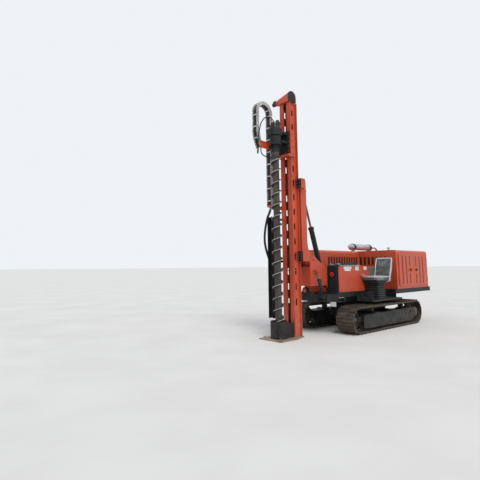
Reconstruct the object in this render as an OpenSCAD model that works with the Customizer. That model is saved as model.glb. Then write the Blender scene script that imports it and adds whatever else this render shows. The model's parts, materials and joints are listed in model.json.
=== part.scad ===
// Crawler pile driver rig: a long auger on a tall mast in front of a tracked chassis.
// Millimetres. X is forward from the mast's centre line, Y is to the left, Z is up from the ground.

/* [Chassis] */
// Half of the overall width, at the tracks' outer faces
half_w = 955; // [900:5:1000]
// Front end of the deck, behind the mast
deck_front = -620; // [-680:5:-600]
// Rear end of the deck
deck_rear = -5500; // [-5700:10:-5450]
// Underside of the deck
deck_z = 850; // [820:5:860]
// Thickness of the deck
deck_t = 120; // [80:5:140]
// Half width of the deck under the engine
deck_half_w = 790; // [785:5:820]
// Length of the two lugs behind the deck
lug_l = 90; // [70:5:120]
// Bore of the rear lugs
lug_bore = 44; // [30:2:60]

/* [Tracks] */
// Overall height of a track
track_h = 660; // [640:10:680]
// Front end of a track
track_front = -980; // [-1020:10:-940]
// Number of shoes in a track
shoe_count = 48; // [46:1:50]
// Width of a shoe
shoe_w = 480; // [460:5:490]
// Straight length between the two end wheels
track_l = 2860; // [2800:10:2900]
// Height of a grouser above its shoe
grouser_h = 28; // [20:1:32]
// Width of the chain of links inside the shoes
link_w = 150; // [120:5:170]

/* [Engine end] */
// Front face of the engine compartment
cover_front = -3500; // [-3520:5:-3450]
// Rear face of the engine compartment
cover_rear = -5420; // [-5440:5:-5400]
// Half width of the engine compartment
cover_half_w = 780; // [760:5:784]
// Top of the bodywork
cover_top = 2050; // [2000:5:2060]
// Radius of the bodywork's upper edges
cover_r = 70; // [40:5:100]
// Wall of the bodywork
cover_t = 22; // [15:1:30]
// Thickness of a door leaf
leaf_t = 20; // [15:1:26]
// Length of a door leaf
leaf_l = 860; // [830:5:864]
// Lower edge of the doors
leaf_z = 1040; // [1020:5:1060]
// Height of the doors
leaf_h = 900; // [860:5:910]
// Inner side of the right hood, towards the folded mast
hood_in = -395; // [-410:5:-390]
// Front end of the right hood
hood_front = -1500; // [-1600:10:-1450]
// Height of the slots in the bodywork
slot_row_h = 230; // [200:10:250]

/* [Driver's place] */
// Front of the console
console_front = -1150; // [-1200:5:-1140]
// Length of the console
console_l = 1960; // [1900:10:2000]
// Inner side of the console
console_in = 185; // [180:5:190]
// Width of the console
console_w = 305; // [295:5:310]
// Top of the console
console_top = 1600; // [1500:10:1620]
// Front end of the driver's platform
platform_front = -1900; // [-2000:10:-1800]
// Length of the driver's platform
platform_l = 1480; // [1400:10:1550]
// Underside of the driver's platform
platform_z = 722; // [715:1:740]
// Centre of the seat
seat_x = -2500; // [-2540:5:-2460]
// Width of the seat cushion
seat_w = 440; // [400:5:445]
// Top of the seat cushion
seat_top = 1340; // [1300:5:1380]
// Length of the seat's backrest
backrest_l = 520; // [480:5:560]

/* [Swing frame] */
// Height of the roll axis
roll_z = 1030; // [1025:1:1036]
// Diameter of the roll shaft
roll_d = 90; // [80:2:100]
// Forward place of the tilt axis
tilt_x = -750; // [-760:5:-745]
// Height of the tilt axis
tilt_z = 1250; // [1245:1:1260]
// Diameter of the tilt pins
tilt_d = 70; // [60:2:80]
// Outer half width of the swing frame
swing_half_w = 240; // [235:1:245]
// Plate thickness of the swing frame
swing_t = 22; // [18:1:25]
// Front face of the swing frame
swing_front = -390; // [-400:5:-385]
// Underside of the swing frame
swing_z = 1140; // [1135:1:1145]

/* [Mast] */
// Foot of the mast beam, on its foot plate
foot_t = 25; // [20:1:30]
// Top of the mast beam
mast_top = 5600; // [5400:50:5700]
// Width of the mast beam over its flanges
mast_w = 340; // [330:2:344]
// Depth of the mast beam
mast_d = 250; // [240:2:260]
// Outer width over the mast's webs
web_w = 240; // [230:2:244]
// Width of the open groove down the mast's front
groove_w = 96; // [90:2:110]
// Plate thickness of the mast beam
mast_t = 14; // [12:1:18]
// Pitch of the slots up the mast's sides
slot_pitch = 350; // [300:10:400]
// Height of a slot in the mast's side
slot_h = 160; // [120:5:200]
// Width of a slot in the mast's side
slot_w = 55; // [40:5:70]
// Height of the housing on the mast's top
cap_h = 280; // [270:5:310]

/* [Mast carrier] */
// Half width of the carrier behind the mast
carrier_half_w = 190; // [180:2:195]
// Lower end of the carrier
carrier_bottom = 1725; // [1720:5:1740]
// Upper end of the carrier
carrier_top = 3700; // [3600:10:3800]
// Depth of the carrier
carrier_d = 200; // [180:5:210]
// Half width of the clamp housings
clamp_half_w = 280; // [270:2:284]
// Running gap between the mast and its clamps
run_gap = 6; // [5:0.5:8]

/* [Head and auger] */
// Distance of the auger's axis from the mast's centre
auger_x = 480; // [470:5:500]
// Diameter of the auger's flight
flight_d = 256; // [240:2:264]
// Diameter of the auger's stem
stem_d = 150; // [140:2:170]
// Pitch of the flight
flight_pitch = 262; // [240:2:300]
// Lower end of the flight
flight_z = 110; // [90:5:130]
// Upper end of the auger's stem
stem_top = 4290; // [4250:10:4330]
// Diameter of the rotary head's gearbox
head_d = 310; // [290:5:330]
// Height of the rotary head's gearbox
head_h = 380; // [340:10:400]
// Outer diameter of the guide casing at the mast's foot
casing_d = 380; // [370:2:390]
// Height of the guide casing
casing_h = 375; // [340:5:390]

/* [Tilt cylinder] */
// Height of the upper eye
tilt_eye_z = 3450; // [3420:5:3480]
// Distance of the upper eye behind the mast's centre
tilt_eye_x = -460; // [-465:1:-455]
// Distance of the lower eye behind the mast's centre
tilt_base_x = -1260; // [-1270:2:-1250]
// Outer diameter of the barrel
barrel_d = 125; // [110:2:130]
// Length of the barrel from its lower eye
barrel_l = 1630; // [1550:5:1650]
// Diameter of the rod
rod_d = 56; // [45:1:60]

/* [Roll cylinders] */
// Forward place of the roll cylinders
ram_x = -560; // [-570:2:-550]
// Upper eye, from the middle of the rig
ram_eye_y = 290; // [286:1:294]
// Height of the upper eye
ram_eye_z = 1480; // [1470:2:1490]
// Lower eye, from the middle of the rig
ram_base_y = 425; // [420:1:430]
// Outer diameter of a roll cylinder
ram_d = 80; // [70:2:84]

/* [Hose chain] */
// Side of the mast on which the chain runs, from the middle
chain_y = -280; // [-285:1:-278]
// Width of the chain
chain_w = 150; // [140:2:156]
// Depth of the chain's links
chain_t = 80; // [70:2:90]
// Place of the chain's fixed leg
chain_leg_x = 400; // [396:2:420]
// Radius of the chain's bend, at its middle
chain_r = 225; // [215:2:230]
// Fixed end of the chain on the mast
chain_fixed_z = 3050; // [3000:10:3100]
// Lower end of the straight front leg, above the two tail links on the head
chain_head_z = 4800; // [4750:10:4850]
// Height where the bend starts
chain_bend_z = 5300; // [5250:10:5350]

/* [Hidden] */
$fn = 48;

orange = "orangered";
dark = "dimgray";
black = "black";
steel = "silver";

deck_top = deck_z + deck_t;
front_end = chain_leg_x + 2 * chain_r + chain_t / 2 + 10;
rear_end = deck_rear - lug_l;
mast_x = -(front_end + rear_end) / 2;
skin = 0.3;

// Everything is drawn from the mast's centre line, then moved so that the origin is under the
// middle of the rig.
module in_frame() translate([mast_x, 0, 0]) children();

// A block between two corners
module block(x0, x1, y0, y1, z0, z1)
    translate([min(x0, x1), min(y0, y1), min(z0, z1)])
        cube([abs(x1 - x0), abs(y1 - y0), abs(z1 - z0)]);

// An outline in the XZ plane, drawn out from y0 to y1
module side_sheet(y0, y1)
    translate([0, max(y0, y1), 0]) rotate([90, 0, 0]) linear_extrude(abs(y1 - y0)) children();

// An outline in the YZ plane, drawn out from x0 to x1
module cross_sheet(x0, x1)
    translate([min(x0, x1), 0, 0]) rotate([90, 0, 90]) linear_extrude(abs(x1 - x0)) children();

// A round bar along Y
module bar_y(x, z, y0, y1, d)
    translate([x, max(y0, y1), z]) rotate([90, 0, 0]) cylinder(h = abs(y1 - y0), d = d);

// A round bar along X
module bar_x(y, z, x0, x1, d)
    translate([min(x0, x1), y, z]) rotate([0, 90, 0]) cylinder(h = abs(x1 - x0), d = d);

// A rectangle with round corners
module round_rect(x0, x1, y0, y1, r) {
    translate([x0 + r, y0]) square([x1 - x0 - 2 * r, y1 - y0]);
    translate([x0, y0 + r]) square([x1 - x0, y1 - y0 - 2 * r]);
    for (x = [x0 + r, x1 - r], y = [y0 + r, y1 - r]) translate([x, y]) circle(r);
}

// The same piece on the left and on the right
module both_sides() {
    children();
    mirror([0, 1, 0]) children();
}

// Points on an arc, from angle a0 to a1
function arc(cx, cy, r, a0, a1, n) =
    [for (i = [0:n]) let (a = a0 + (a1 - a0) * i / n) [cx + r * cos(a), cy + r * sin(a)]];

// A smooth curve through the points of a hose, with n steps between two points
function curve_point(p0, p1, p2, p3, t) =
    0.5 * ((2 * p1) + (p2 - p0) * t + (2 * p0 - 5 * p1 + 4 * p2 - p3) * t * t
           + (3 * p1 - p0 - 3 * p2 + p3) * t * t * t);
function smooth(p, n) = let (last = len(p) - 1) concat(
    [for (i = [0:last - 1], k = [0:n - 1])
        curve_point(p[max(i - 1, 0)], p[i], p[i + 1], p[min(i + 2, last)], k / n)],
    [p[last]]);
function unit(v) = v / norm(v);

// A hose: a tube swept along its route, with a frame that turns as little as possible
module hose(route, d, steps, sides = 8) {
    p = smooth(route, steps);
    last = len(p) - 1;
    t = [for (i = [0:last]) unit(p[min(i + 1, last)] - p[max(i - 1, 0)])];
    start = unit(cross(t[0], abs(t[0][0]) < 0.8 ? [1, 0, 0] : [0, 1, 0]));
    normals = [for (i = 0, n = start; i <= last;
        i = i + 1, n = i <= last ? unit(n - (n * t[i]) * t[i]) : n) n];
    rings = [for (i = [0:last], k = [0:sides - 1])
        p[i] + d / 2 * (cos(360 * k / sides) * normals[i]
                        + sin(360 * k / sides) * cross(t[i], normals[i]))];
    walls = [for (i = [0:last - 1], k = [0:sides - 1])
        [i * sides + k, (i + 1) * sides + k,
         (i + 1) * sides + (k + 1) % sides, i * sides + (k + 1) % sides]];
    polyhedron(rings, concat(walls, [[for (k = [0:sides - 1]) k]],
                             [[for (k = [sides - 1:-1:0]) last * sides + k]]), convexity = 6);
}

// Tracks

track_r = track_h / 2;
plate_r = track_r - grouser_h;
seam_r = plate_r - 14;
inner_r = seam_r - 14;
link_r = inner_r - 46;
wheel_front = track_front - track_r;
wheel_rear = wheel_front - track_l;
pitch_len = (2 * track_l + 2 * PI * plate_r) / shoe_count;
track_y = half_w - shoe_w / 2;

// Place and turn of a point s along the loop, at plate_r
function loop_at(s) =
    let (bend = PI * plate_r, q = s % (2 * track_l + 2 * bend))
    q < track_l ? [wheel_front - q, 0, 90]
    : q < track_l + bend ? [wheel_rear, 0, 90 + (q - track_l) / bend * 180]
    : q < 2 * track_l + bend ? [wheel_rear + (q - track_l - bend), 0, 270]
    : [wheel_front, 0, 270 + (q - 2 * track_l - bend) / bend * 180];
// A point of a shoe: u along the loop and r out from the loop's middle line
function shoe_point(c, u, r) = let (a = c[2])
    [c[0] + r * cos(a) - u * sin(a), track_r + r * sin(a) + u * cos(a)];
// Profile of one shoe: distance along it and height
half_shoe = pitch_len / 2;
SHOE = [[-half_shoe, seam_r], [-half_shoe + 12, plate_r], [-14, plate_r], [-7, track_r],
        [7, track_r], [14, plate_r], [half_shoe - 12, plate_r]];

module stadium(r) {
    translate([wheel_rear, track_r - r]) square([track_l, 2 * r]);
    for (x = [wheel_front, wheel_rear]) translate([x, track_r]) circle(r, $fn = 64);
}

module track_loop() {
    side_sheet(track_y - shoe_w / 2, track_y + shoe_w / 2) difference() {
        polygon([for (i = [0:shoe_count - 1], s = SHOE)
            shoe_point(loop_at((i + 0.5) * pitch_len), s[0], s[1])]);
        stadium(inner_r);
    }
    side_sheet(track_y - link_w / 2, track_y + link_w / 2) difference() {
        stadium(inner_r + 4);
        stadium(link_r);
    }
}

// Track frame: a long box with an outer skirt, raised brackets on top and a fork at the front
frame_in = track_y - 150;
frame_out = half_w - 25;
frame_low = 256;
frame_high = 430;
frame_front = wheel_front - 240;
frame_rear = wheel_rear + 240;
skirt_t = 16;
// Raised brackets: front end, rear end
BRACKETS = [[-2110, -2210], [-2880, -2980], [-3660, -3770]];
bracket_top = 461;

module track_frame() {
    difference() {
        union() {
            block(frame_front, frame_rear, frame_in, frame_out, frame_low, frame_high);
            // Skirts that hold the roller shafts, the outer one and the inner one
            side_sheet(frame_out - skirt_t, frame_out) polygon([
                [frame_front, frame_high], [frame_front + 60, frame_high - 80],
                [frame_front + 60, 150], [frame_front - 60, 118],
                [frame_rear + 60, 118], [frame_rear - 80, 170], [frame_rear - 110, 250],
                [frame_rear - 110, 410], [frame_rear - 60, frame_high + 30],
                [frame_rear, frame_high + 30]]);
            side_sheet(frame_in, frame_in + skirt_t) polygon([
                [frame_front, frame_high], [frame_front, 140], [frame_rear, 140],
                [wheel_rear - 90, track_r - 130], [wheel_rear - 130, track_r],
                [wheel_rear - 90, track_r + 130], [frame_rear, frame_high]]);
            for (b = BRACKETS) side_sheet(frame_in + 40, frame_out) polygon([
                [b[0] + 50, frame_high - 1], [b[0], bracket_top],
                [b[1], bracket_top], [b[1] - 50, frame_high - 1]]);
        }
        // Hand hole near the rear end
        bar_y(frame_rear + 80, 350, frame_out - 60, frame_out + 5, 76);
    }
    // Fork that holds the front idler
    for (y = FORKS) block(wheel_front - 50, frame_front - 5, y, y + fork_t,
                          track_r - 60, track_r + 60);
}

// Wheels and rollers of one track
fork_t = 22;
FORKS = [frame_in, track_y + link_w / 2 + 25];
roller_r = 74;
roller_gap = (frame_front - frame_rear - 200) / 4;
ROLLERS = [for (i = [0:4]) frame_front - 100 - i * roller_gap];
carrier_r = 48;
CARRIERS = [for (b = [BRACKETS[0], BRACKETS[2]]) (b[0] + b[1]) / 2];
sprocket_teeth = 15;

module running_gear() {
    // Idler: rim, web and hub
    difference() {
        union() {
            bar_y(wheel_front, track_r, track_y - 45, track_y + 45, 2 * link_r - 2 * skin);
            bar_y(wheel_front, track_r, FORKS[0] + fork_t + skin, FORKS[1] - skin, 90);
        }
        for (s = [-1, 1]) translate([wheel_front, track_y + s * 50, track_r])
            rotate([90, 0, 0]) difference() {
                cylinder(h = 60, r = link_r - 30, center = true);
                cylinder(h = 62, r = 60, center = true);
            }
    }
    // Rear sprocket with its final drive
    side_sheet(track_y - 22, track_y + 22) translate([wheel_rear, track_r]) difference() {
        circle(link_r - skin);
        for (i = [0:sprocket_teeth - 1]) rotate(i * 360 / sprocket_teeth)
            translate([link_r, 0]) circle(22, $fn = 24);
    }
    bar_y(wheel_rear, track_r, frame_in + skirt_t + skin, frame_out - 15, 240);
    bar_y(wheel_rear, track_r, frame_out - 15, frame_out, 170);
    // Track rollers on their shafts, and carrier rollers on the brackets
    for (x = ROLLERS) {
        bar_y(x, track_r - link_r + roller_r + skin, track_y - 62, track_y + 62, 2 * roller_r);
        bar_y(x, track_r - link_r + roller_r + skin, frame_in + skirt_t + skin,
              frame_out - skirt_t - skin, 60);
    }
    for (x = CARRIERS)
        bar_y(x, track_r + link_r - carrier_r - skin, track_y - 60, track_y + 60, 2 * carrier_r);
}

module track_left() color("saddlebrown") in_frame() track_loop();
module track_right() color("saddlebrown") in_frame() mirror([0, 1, 0]) track_loop();
module track_frame_left() color(dark) in_frame() track_frame();
module track_frame_right() color(dark) in_frame() mirror([0, 1, 0]) track_frame();
module running_gear_left() color("gray") in_frame() running_gear();
module running_gear_right() color("gray") in_frame() mirror([0, 1, 0]) running_gear();

// Chassis

body_front = -2000;
body_rear = -3480;

module cross_beam() color(dark) in_frame() {
    // Two legs between the tracks, a central box and the pedestal under the deck
    for (x = [body_front, body_rear + 320])
        block(x, x - 320, -frame_in, frame_in, 290, 430);
    side_sheet(-360, 360) polygon([
        [body_front + 60, 560], [body_front + 60, 360], [body_front, 290],
        [body_rear, 290], [body_rear - 60, 360], [body_rear - 60, 560],
        [body_rear + 60, 640], [body_front - 60, 640]]);
    translate([(body_front + body_rear) / 2, 0, 640]) cylinder(h = deck_z - 640, d = 760);
    translate([(body_front + body_rear) / 2, 0, deck_z - 40]) cylinder(h = 40, d = 860);
}

nose_half_w = 520;
nose_top = 930;
notch_y = 500;
notch_front = platform_front;
notch_rear = platform_front - platform_l;

module deck() color(dark) in_frame() translate([0, 0, deck_z]) {
    difference() {
        linear_extrude(deck_t) polygon([
            [console_front + 70, -nose_half_w], [console_front + 70, nose_half_w],
            [notch_front + 300, nose_half_w], [notch_front, notch_y],
            [notch_rear, notch_y], [notch_rear, deck_half_w],
            [deck_rear, deck_half_w], [deck_rear, -deck_half_w],
            [hood_front + 40, -deck_half_w], [console_front + 70, -nose_half_w]]);
        // Open frame bays under the sheet
        for (b = [[-3650, -4210], [-4290, -4850], [-4930, -5350]], s = [-1, 1])
            translate([0, s * 400, -1]) linear_extrude(deck_t - 30)
                round_rect(b[1], b[0], -230, 230, 40);
    }
    // Tow lugs at the rear
    both_sides() difference() {
        side_sheet(300, 330) {
            translate([deck_rear - lug_l + 45, deck_t / 2]) circle(45);
            translate([deck_rear - lug_l + 45, deck_t / 2 - 45]) square([lug_l - 45, 90]);
        }
        bar_y(deck_rear - lug_l + 45, deck_t / 2, 290, 340, lug_bore);
    }
}

// Front beam with the two ears that carry the roll shaft, and the lower lugs of the roll rams
ear_r = 85;
EARS = [[-460, -520], [-1000, -1060]];
ram_lug = [ram_x - 52, ram_x - 34, ram_x + 34, ram_x + 52];

module roll_ear(x) difference() {
    cross_sheet(x[0], x[1]) {
        translate([0, roll_z]) circle(ear_r);
        polygon([[-ear_r, roll_z], [ear_r, roll_z], [150, nose_top], [-150, nose_top]]);
    }
    bar_x(0, roll_z, x[0] + 5, x[1] - 5, roll_d);
}

module front_bracket() color(dark) in_frame() {
    difference() {
        union() {
            block(deck_front + 185, console_front + 70, -330, 330, 790, nose_top);
            block(deck_front, console_front + 70, -nose_half_w, nose_half_w, 770, nose_top);
            // Wings that carry the lugs of the roll rams
            block(ram_lug[3] + 14, deck_front - 10, -ram_base_y - 66, ram_base_y + 66, 860, nose_top);
        }
        for (s = [-1, 1]) block(deck_front - 60, console_front + 150, s * 90, s * 440, 760, 850);
    }
    for (x = EARS) roll_ear(x);
    both_sides() for (x = [[ram_lug[0], ram_lug[1]], [ram_lug[2], ram_lug[3]]]) difference() {
        cross_sheet(x[0], x[1]) {
            translate([ram_base_y, roll_z]) circle(38);
            polygon([[ram_base_y - 38, roll_z], [ram_base_y + 38, roll_z],
                     [ram_base_y + 60, nose_top], [ram_base_y - 70, nose_top]]);
        }
        bar_x(ram_base_y, roll_z, x[0] - 5, x[1] + 5, 30);
    }
}

module driver_platform() color(dark) in_frame() {
    // Tread plate over the left track, with the risers that hang it from the deck
    block(notch_front, notch_rear, notch_y, half_w, platform_z, platform_z + 40);
    block(notch_front, notch_rear, notch_y, notch_y + 16, platform_z + 40, deck_top);
    block(notch_rear, notch_rear + 16, notch_y, deck_half_w, platform_z + 40, deck_top);
    difference() {
        block(notch_front, notch_front - 16, notch_y, half_w, platform_z + 40, deck_top);
        bar_x(730, deck_z + 20, notch_front + 10, notch_front - 30, 90);
    }
}

// Bodywork

module cover_outline(half, top, r) {
    translate([-half, deck_top]) square([2 * half, top - deck_top - r]);
    translate([-half + r, deck_top]) square([2 * half - 2 * r, top - deck_top]);
    for (s = [-1, 1]) translate([s * (half - r), top - r]) circle(r);
}

leaf_front = -3620;
leaf_mid = leaf_front - leaf_l - 10;
leaf_end = leaf_mid - leaf_l;
lap = 45;

module engine_cover() color(orange) in_frame() {
    difference() {
        cross_sheet(cover_front, cover_rear) cover_outline(cover_half_w, cover_top, cover_r);
        translate([0, 0, -5]) cross_sheet(cover_front - cover_t, cover_rear + cover_t)
            cover_outline(cover_half_w - cover_t, cover_top - cover_t + 5, cover_r - cover_t);
        // Door openings on both sides
        block(leaf_front - lap, leaf_end + lap, -cover_half_w - 5, cover_half_w + 5,
              leaf_z + lap, leaf_z + leaf_h - lap);
        // Slots in the front face, left of the hood
        for (i = [0:6]) block(cover_front + 5, cover_front - cover_t - 5,
                              -370 + i * 130, -295 + i * 130, slot_row_z, slot_row_z + slot_row_h);
        // Cooling grille in the rear face
        for (i = [0:9]) block(cover_rear - 5, cover_rear + cover_t + 5,
                              -520, 520, 1150 + i * 75, 1185 + i * 75);
    }
}

hood_rear = cover_front;
slot_row_z = 1640;
hood_out = -cover_half_w;

module side_hood() color(orange) in_frame() difference() {
    cross_sheet(hood_front, hood_rear + skin) {
        translate([hood_out, deck_top]) square([hood_in - hood_out, cover_top - deck_top - cover_r]);
        translate([hood_out + cover_r, deck_top])
            square([hood_in - hood_out - 2 * cover_r, cover_top - deck_top]);
        for (y = [hood_out + cover_r, hood_in - cover_r])
            translate([y, cover_top - cover_r]) circle(cover_r);
    }
    block(hood_front - cover_t, hood_rear + cover_t, hood_out + cover_t, hood_in - cover_t,
          deck_top - 5, cover_top - cover_r);
    // Row of cooling slots on the inner side and two louvred fields on the outer side
    for (i = [0:11]) block(hood_front - 460 - i * 125, hood_front - 540 - i * 125,
                           hood_in - cover_t - 5, hood_in + 5, slot_row_z, slot_row_z + slot_row_h);
    for (f = [0, 1], i = [0:7]) block(
        hood_front - 180 - f * 900, hood_front - 880 - f * 900,
        hood_out - 5, hood_out + cover_t + 5, 1260 + i * 70, 1295 + i * 70);
}

module engine_block() color("gray") in_frame()
    block(cover_front - 350, cover_rear + 420, -330, 330, deck_top, 1650);

// One door leaf on the left side, from its hinge edge at x = 0 rearward
// Columns of holes from the hinge edge: front leaf, rear leaf
FRONT_COLS = [197, 415, 628];
REAR_COLS = [284, 490, 715];
hole_rows = 16;
hole_pitch = 50;
hole_w = 74;
hole_h = 31;
module leaf(hinge_at_front) {
    dir = hinge_at_front ? -1 : 1;
    cols = hinge_at_front ? FRONT_COLS : REAR_COLS;
    y0 = cover_half_w + skin;
    x0 = hinge_at_front ? leaf_front : leaf_end;
    difference() {
        side_sheet(y0, y0 + leaf_t)
            round_rect(min(x0, x0 + dir * leaf_l), max(x0, x0 + dir * leaf_l),
                       leaf_z, leaf_z + leaf_h, 12);
        for (c = [0:2], r = [0:hole_rows - 1])
            if (c < 2 || abs(r - (hole_rows - 1) / 2) > 1.6)
                block(x0 + dir * (cols[c] - hole_w / 2), x0 + dir * (cols[c] + hole_w / 2),
                      y0 - 5, y0 + leaf_t + 5, leaf_z + 60 + r * hole_pitch,
                      leaf_z + 60 + r * hole_pitch + hole_h);
    }
    // Knuckles on the hinge line and the handle near the free edge
    for (z = [leaf_z + 110, leaf_z + leaf_h - 200])
        translate([x0, y0 + leaf_t, z]) cylinder(h = 90, d = 24);
    bar_y(x0 + dir * (cols[2] + 15), leaf_z + leaf_h / 2, y0 + leaf_t, y0 + leaf_t + 18, 74);
}

module door_left_front() color(orange) in_frame() leaf(true);
module door_left_rear() color(orange) in_frame() leaf(false);
module door_right_front() color(orange) in_frame() mirror([0, 1, 0]) leaf(true);
module door_right_rear() color(orange) in_frame() mirror([0, 1, 0]) leaf(false);

muffler_y = -520;
muffler_z = cover_top + 130;
muffler_d = 185;
muffler_front = -3280;
muffler_rear = -4360;
pipe_bend = 120;
module muffler() color(steel) in_frame() {
    bar_x(muffler_y, muffler_z, muffler_front, muffler_rear, muffler_d);
    translate([muffler_front, muffler_y, muffler_z]) rotate([0, 90, 0])
        cylinder(h = 110, d1 = muffler_d - 2, d2 = 70);
    for (x = [muffler_front - 100, muffler_rear + 120]) {
        bar_x(muffler_y, muffler_z, x, x - 34, muffler_d + 12);
        block(x - 5, x - 29, muffler_y - 50, muffler_y + 50, cover_top, muffler_z - 40);
    }
    // Outlet pipe that bends down into the bodywork
    bar_x(muffler_y, muffler_z, muffler_rear, muffler_rear - 280, 56);
    translate([muffler_rear - 280, muffler_y, muffler_z - pipe_bend]) rotate([90, 0, 0]) rotate(90)
        rotate_extrude(angle = 90) translate([pipe_bend, 0]) circle(28, $fn = 24);
    translate([muffler_rear - 280 - pipe_bend, muffler_y, cover_top])
        cylinder(h = muffler_z - pipe_bend - cover_top, d = 56);
    // Filler neck
    translate([-4100, 250, cover_top]) {
        cylinder(h = 80, d = 60);
        translate([0, 0, 80]) cylinder(h = 24, d = 84);
    }
}

// Driver's place

console_out = console_in + console_w;
console_rear = console_front - console_l;
panel_rear = console_front - 1390;

plate_t = 18;
module console() color(orange) in_frame()
    side_sheet(console_in, console_out) polygon([
        [console_front, deck_top], [console_front, console_top - 30],
        [console_front - 30, console_top], [panel_rear, console_top],
        [panel_rear, deck_top]]);

// Dark front plate that stands a little above the console and reaches down over the deck's edge
module console_front() color(dark) in_frame()
    side_sheet(console_in - 8, console_out + 8) polygon([
        [console_front, deck_top], [console_front + plate_t + 14, deck_top],
        [console_front + plate_t, console_top + 30], [console_front - 60, console_top + 30],
        [console_front - 60, console_top], [console_front - 30, console_top],
        [console_front, console_top - 30]]);

// Lower grey tank behind the console
module console_tank() color("gray") in_frame()
    cross_sheet(panel_rear, console_rear)
        round_rect(console_in + 12, console_out - 12, deck_top, console_top - 20, 30);

// Levers on the console's top: distance behind its front
LEVERS = [for (i = [0:8]) 300 + i * 84];
lever_y = console_out - 120;
module control_levers() color(black) in_frame() {
    block(console_front - 62, panel_rear + 30, console_in + 30, console_out - 20,
          console_top, console_top + 8);
    for (l = LEVERS) {
        translate([console_front - l, lever_y, console_top + 5]) cylinder(h = 95, d = 12);
        translate([console_front - l, lever_y, console_top + 100]) sphere(d = 30);
    }
}

seat_y = console_out + 15 + seat_w / 2;
cushion_t = 130;
seat_lean = 16;
cushion_l = 560;

module seat_pedestal() color(black) in_frame() translate([seat_x + 60, seat_y, 0]) {
    // Bellows between a foot plate and the seat pan
    for (i = [0:6]) translate([0, 0, platform_z + 40 + i * 56]) {
        translate([-150, -160, 0]) cube([300, 320, 28]);
        translate([-175, -185, 28]) cube([350, 370, 28]);
    }
    translate([-200, -205, platform_z + 40 + 7 * 56])
        cube([400, 410, seat_top - cushion_t - platform_z - 40 - 7 * 56]);
}

module seat_cushion() color("darkslategray") in_frame()
    side_sheet(seat_y - seat_w / 2, seat_y + seat_w / 2)
        translate([seat_x, seat_top - cushion_t])
            round_rect(-cushion_l / 2 + 20, cushion_l / 2 + 20, 0, cushion_t, 45);

module seat_back() color("darkslategray") in_frame()
    side_sheet(seat_y - seat_w / 2, seat_y + seat_w / 2)
        translate([seat_x - cushion_l / 2 + 18.5, seat_top - cushion_t + 45]) rotate(seat_lean)
            round_rect(-110, 0, -45, backrest_l + 65, 45);

module sign_plate() color("white") in_frame()
    block(deck_front - 180, deck_front - 172, nose_half_w - 45, nose_half_w + 120, 664, 770 - skin);

// Swing frame: fan-shaped side plates, a front plate, a floor and the roll shaft

// Centre and radius of the hollow curve down the back of the carrier and the swing frame
curve_x = -1290;
curve_z = 2640;
curve_r = 1070;
// Reach of the swing frame's plates from the tilt pins, inside the path of the clamp housings
fan_r = 615;
lock_x = -505;
lock_z = 1755;
FAN = concat([[swing_front, swing_z], [swing_front, 2000]],
             arc(curve_x, curve_z, curve_r, -36, -72, 12),
             [[-1040, 1300], [-1000, swing_z]]);

module swing_frame() color(orange) in_frame() {
    both_sides() difference() {
        side_sheet(swing_half_w - swing_t, swing_half_w) intersection() {
            polygon(FAN);
            translate([tilt_x, tilt_z]) circle(fan_r);
        }
        bar_y(lock_x, lock_z, swing_half_w - swing_t - 5, swing_half_w + 5, 60);
    }
    // Front plate, below the legs of the carrier as they swing forward, and floor
    block(swing_front, swing_front - 14, -swing_half_w + swing_t, swing_half_w - swing_t,
          swing_z, 1600);
    block(swing_front, -1000, -swing_half_w + swing_t, swing_half_w - swing_t,
          swing_z, swing_z + 18);
    // Hub between the ears, its keel and the shaft with the clevis of the tilt cylinder
    bar_x(0, roll_z, EARS[0][1] - 5, EARS[1][0] + 5, 150);
    block(EARS[0][1] - 5, EARS[1][0] + 5, -60, 60, roll_z, swing_z);
    bar_x(0, roll_z, EARS[0][0] + 15, -1125, roll_d - 0.1);
    for (s = [-1, 1]) difference() {
        side_sheet(s * 45, s * 72) {
            translate([tilt_base_x, roll_z]) circle(46);
            translate([tilt_base_x, roll_z - 46]) square([-1120 - tilt_base_x, 92]);
        }
        bar_y(tilt_base_x, roll_z, s * 40, s * 77, 50);
    }
    block(-1100, -1130, -72, 72, roll_z - 44, roll_z + 44);
    // Outer lugs of the roll rams, and the pins that hold the mast carrier
    both_sides() {
        difference() {
            for (x = [ram_lug[0], ram_lug[2]]) cross_sheet(x, x + 18) {
                translate([ram_eye_y, ram_eye_z]) circle(32);
                polygon([[swing_half_w, ram_eye_z + 60], [ram_eye_y, ram_eye_z + 32],
                         [ram_eye_y, ram_eye_z - 32], [swing_half_w, ram_eye_z - 60]]);
            }
            bar_x(ram_eye_y, ram_eye_z, ram_lug[0] - 5, ram_lug[3] + 5, 26);
        }
    }
    bar_y(tilt_x, tilt_z, -swing_half_w - 16, swing_half_w + 16, tilt_d);
}

// Mast carrier: the box behind the mast, its two clamp housings and the leg to the tilt pins

carrier_front = -170;
carrier_rear = carrier_front - carrier_d;
// Clamp housings: lower end, upper end, rear face
CLAMPS = [[carrier_bottom, 1960, -344], [3470, carrier_top, -236]];
flange_back = -mast_d / 2;
leg_in = 84;
leg_out = 130;
leg_r = 80;

module clamp_housing(c) difference() {
    block(-88, c[2], -clamp_half_w, clamp_half_w, c[0], c[1]);
    block(-80, flange_back + mast_t + run_gap, -web_w / 2 - run_gap - 2, web_w / 2 + run_gap + 2,
          c[0] - 5, c[1] + 5);
    block(flange_back + mast_t + run_gap, flange_back - run_gap,
          -mast_w / 2 - run_gap, mast_w / 2 + run_gap, c[0] - 5, c[1] + 5);
}

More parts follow.
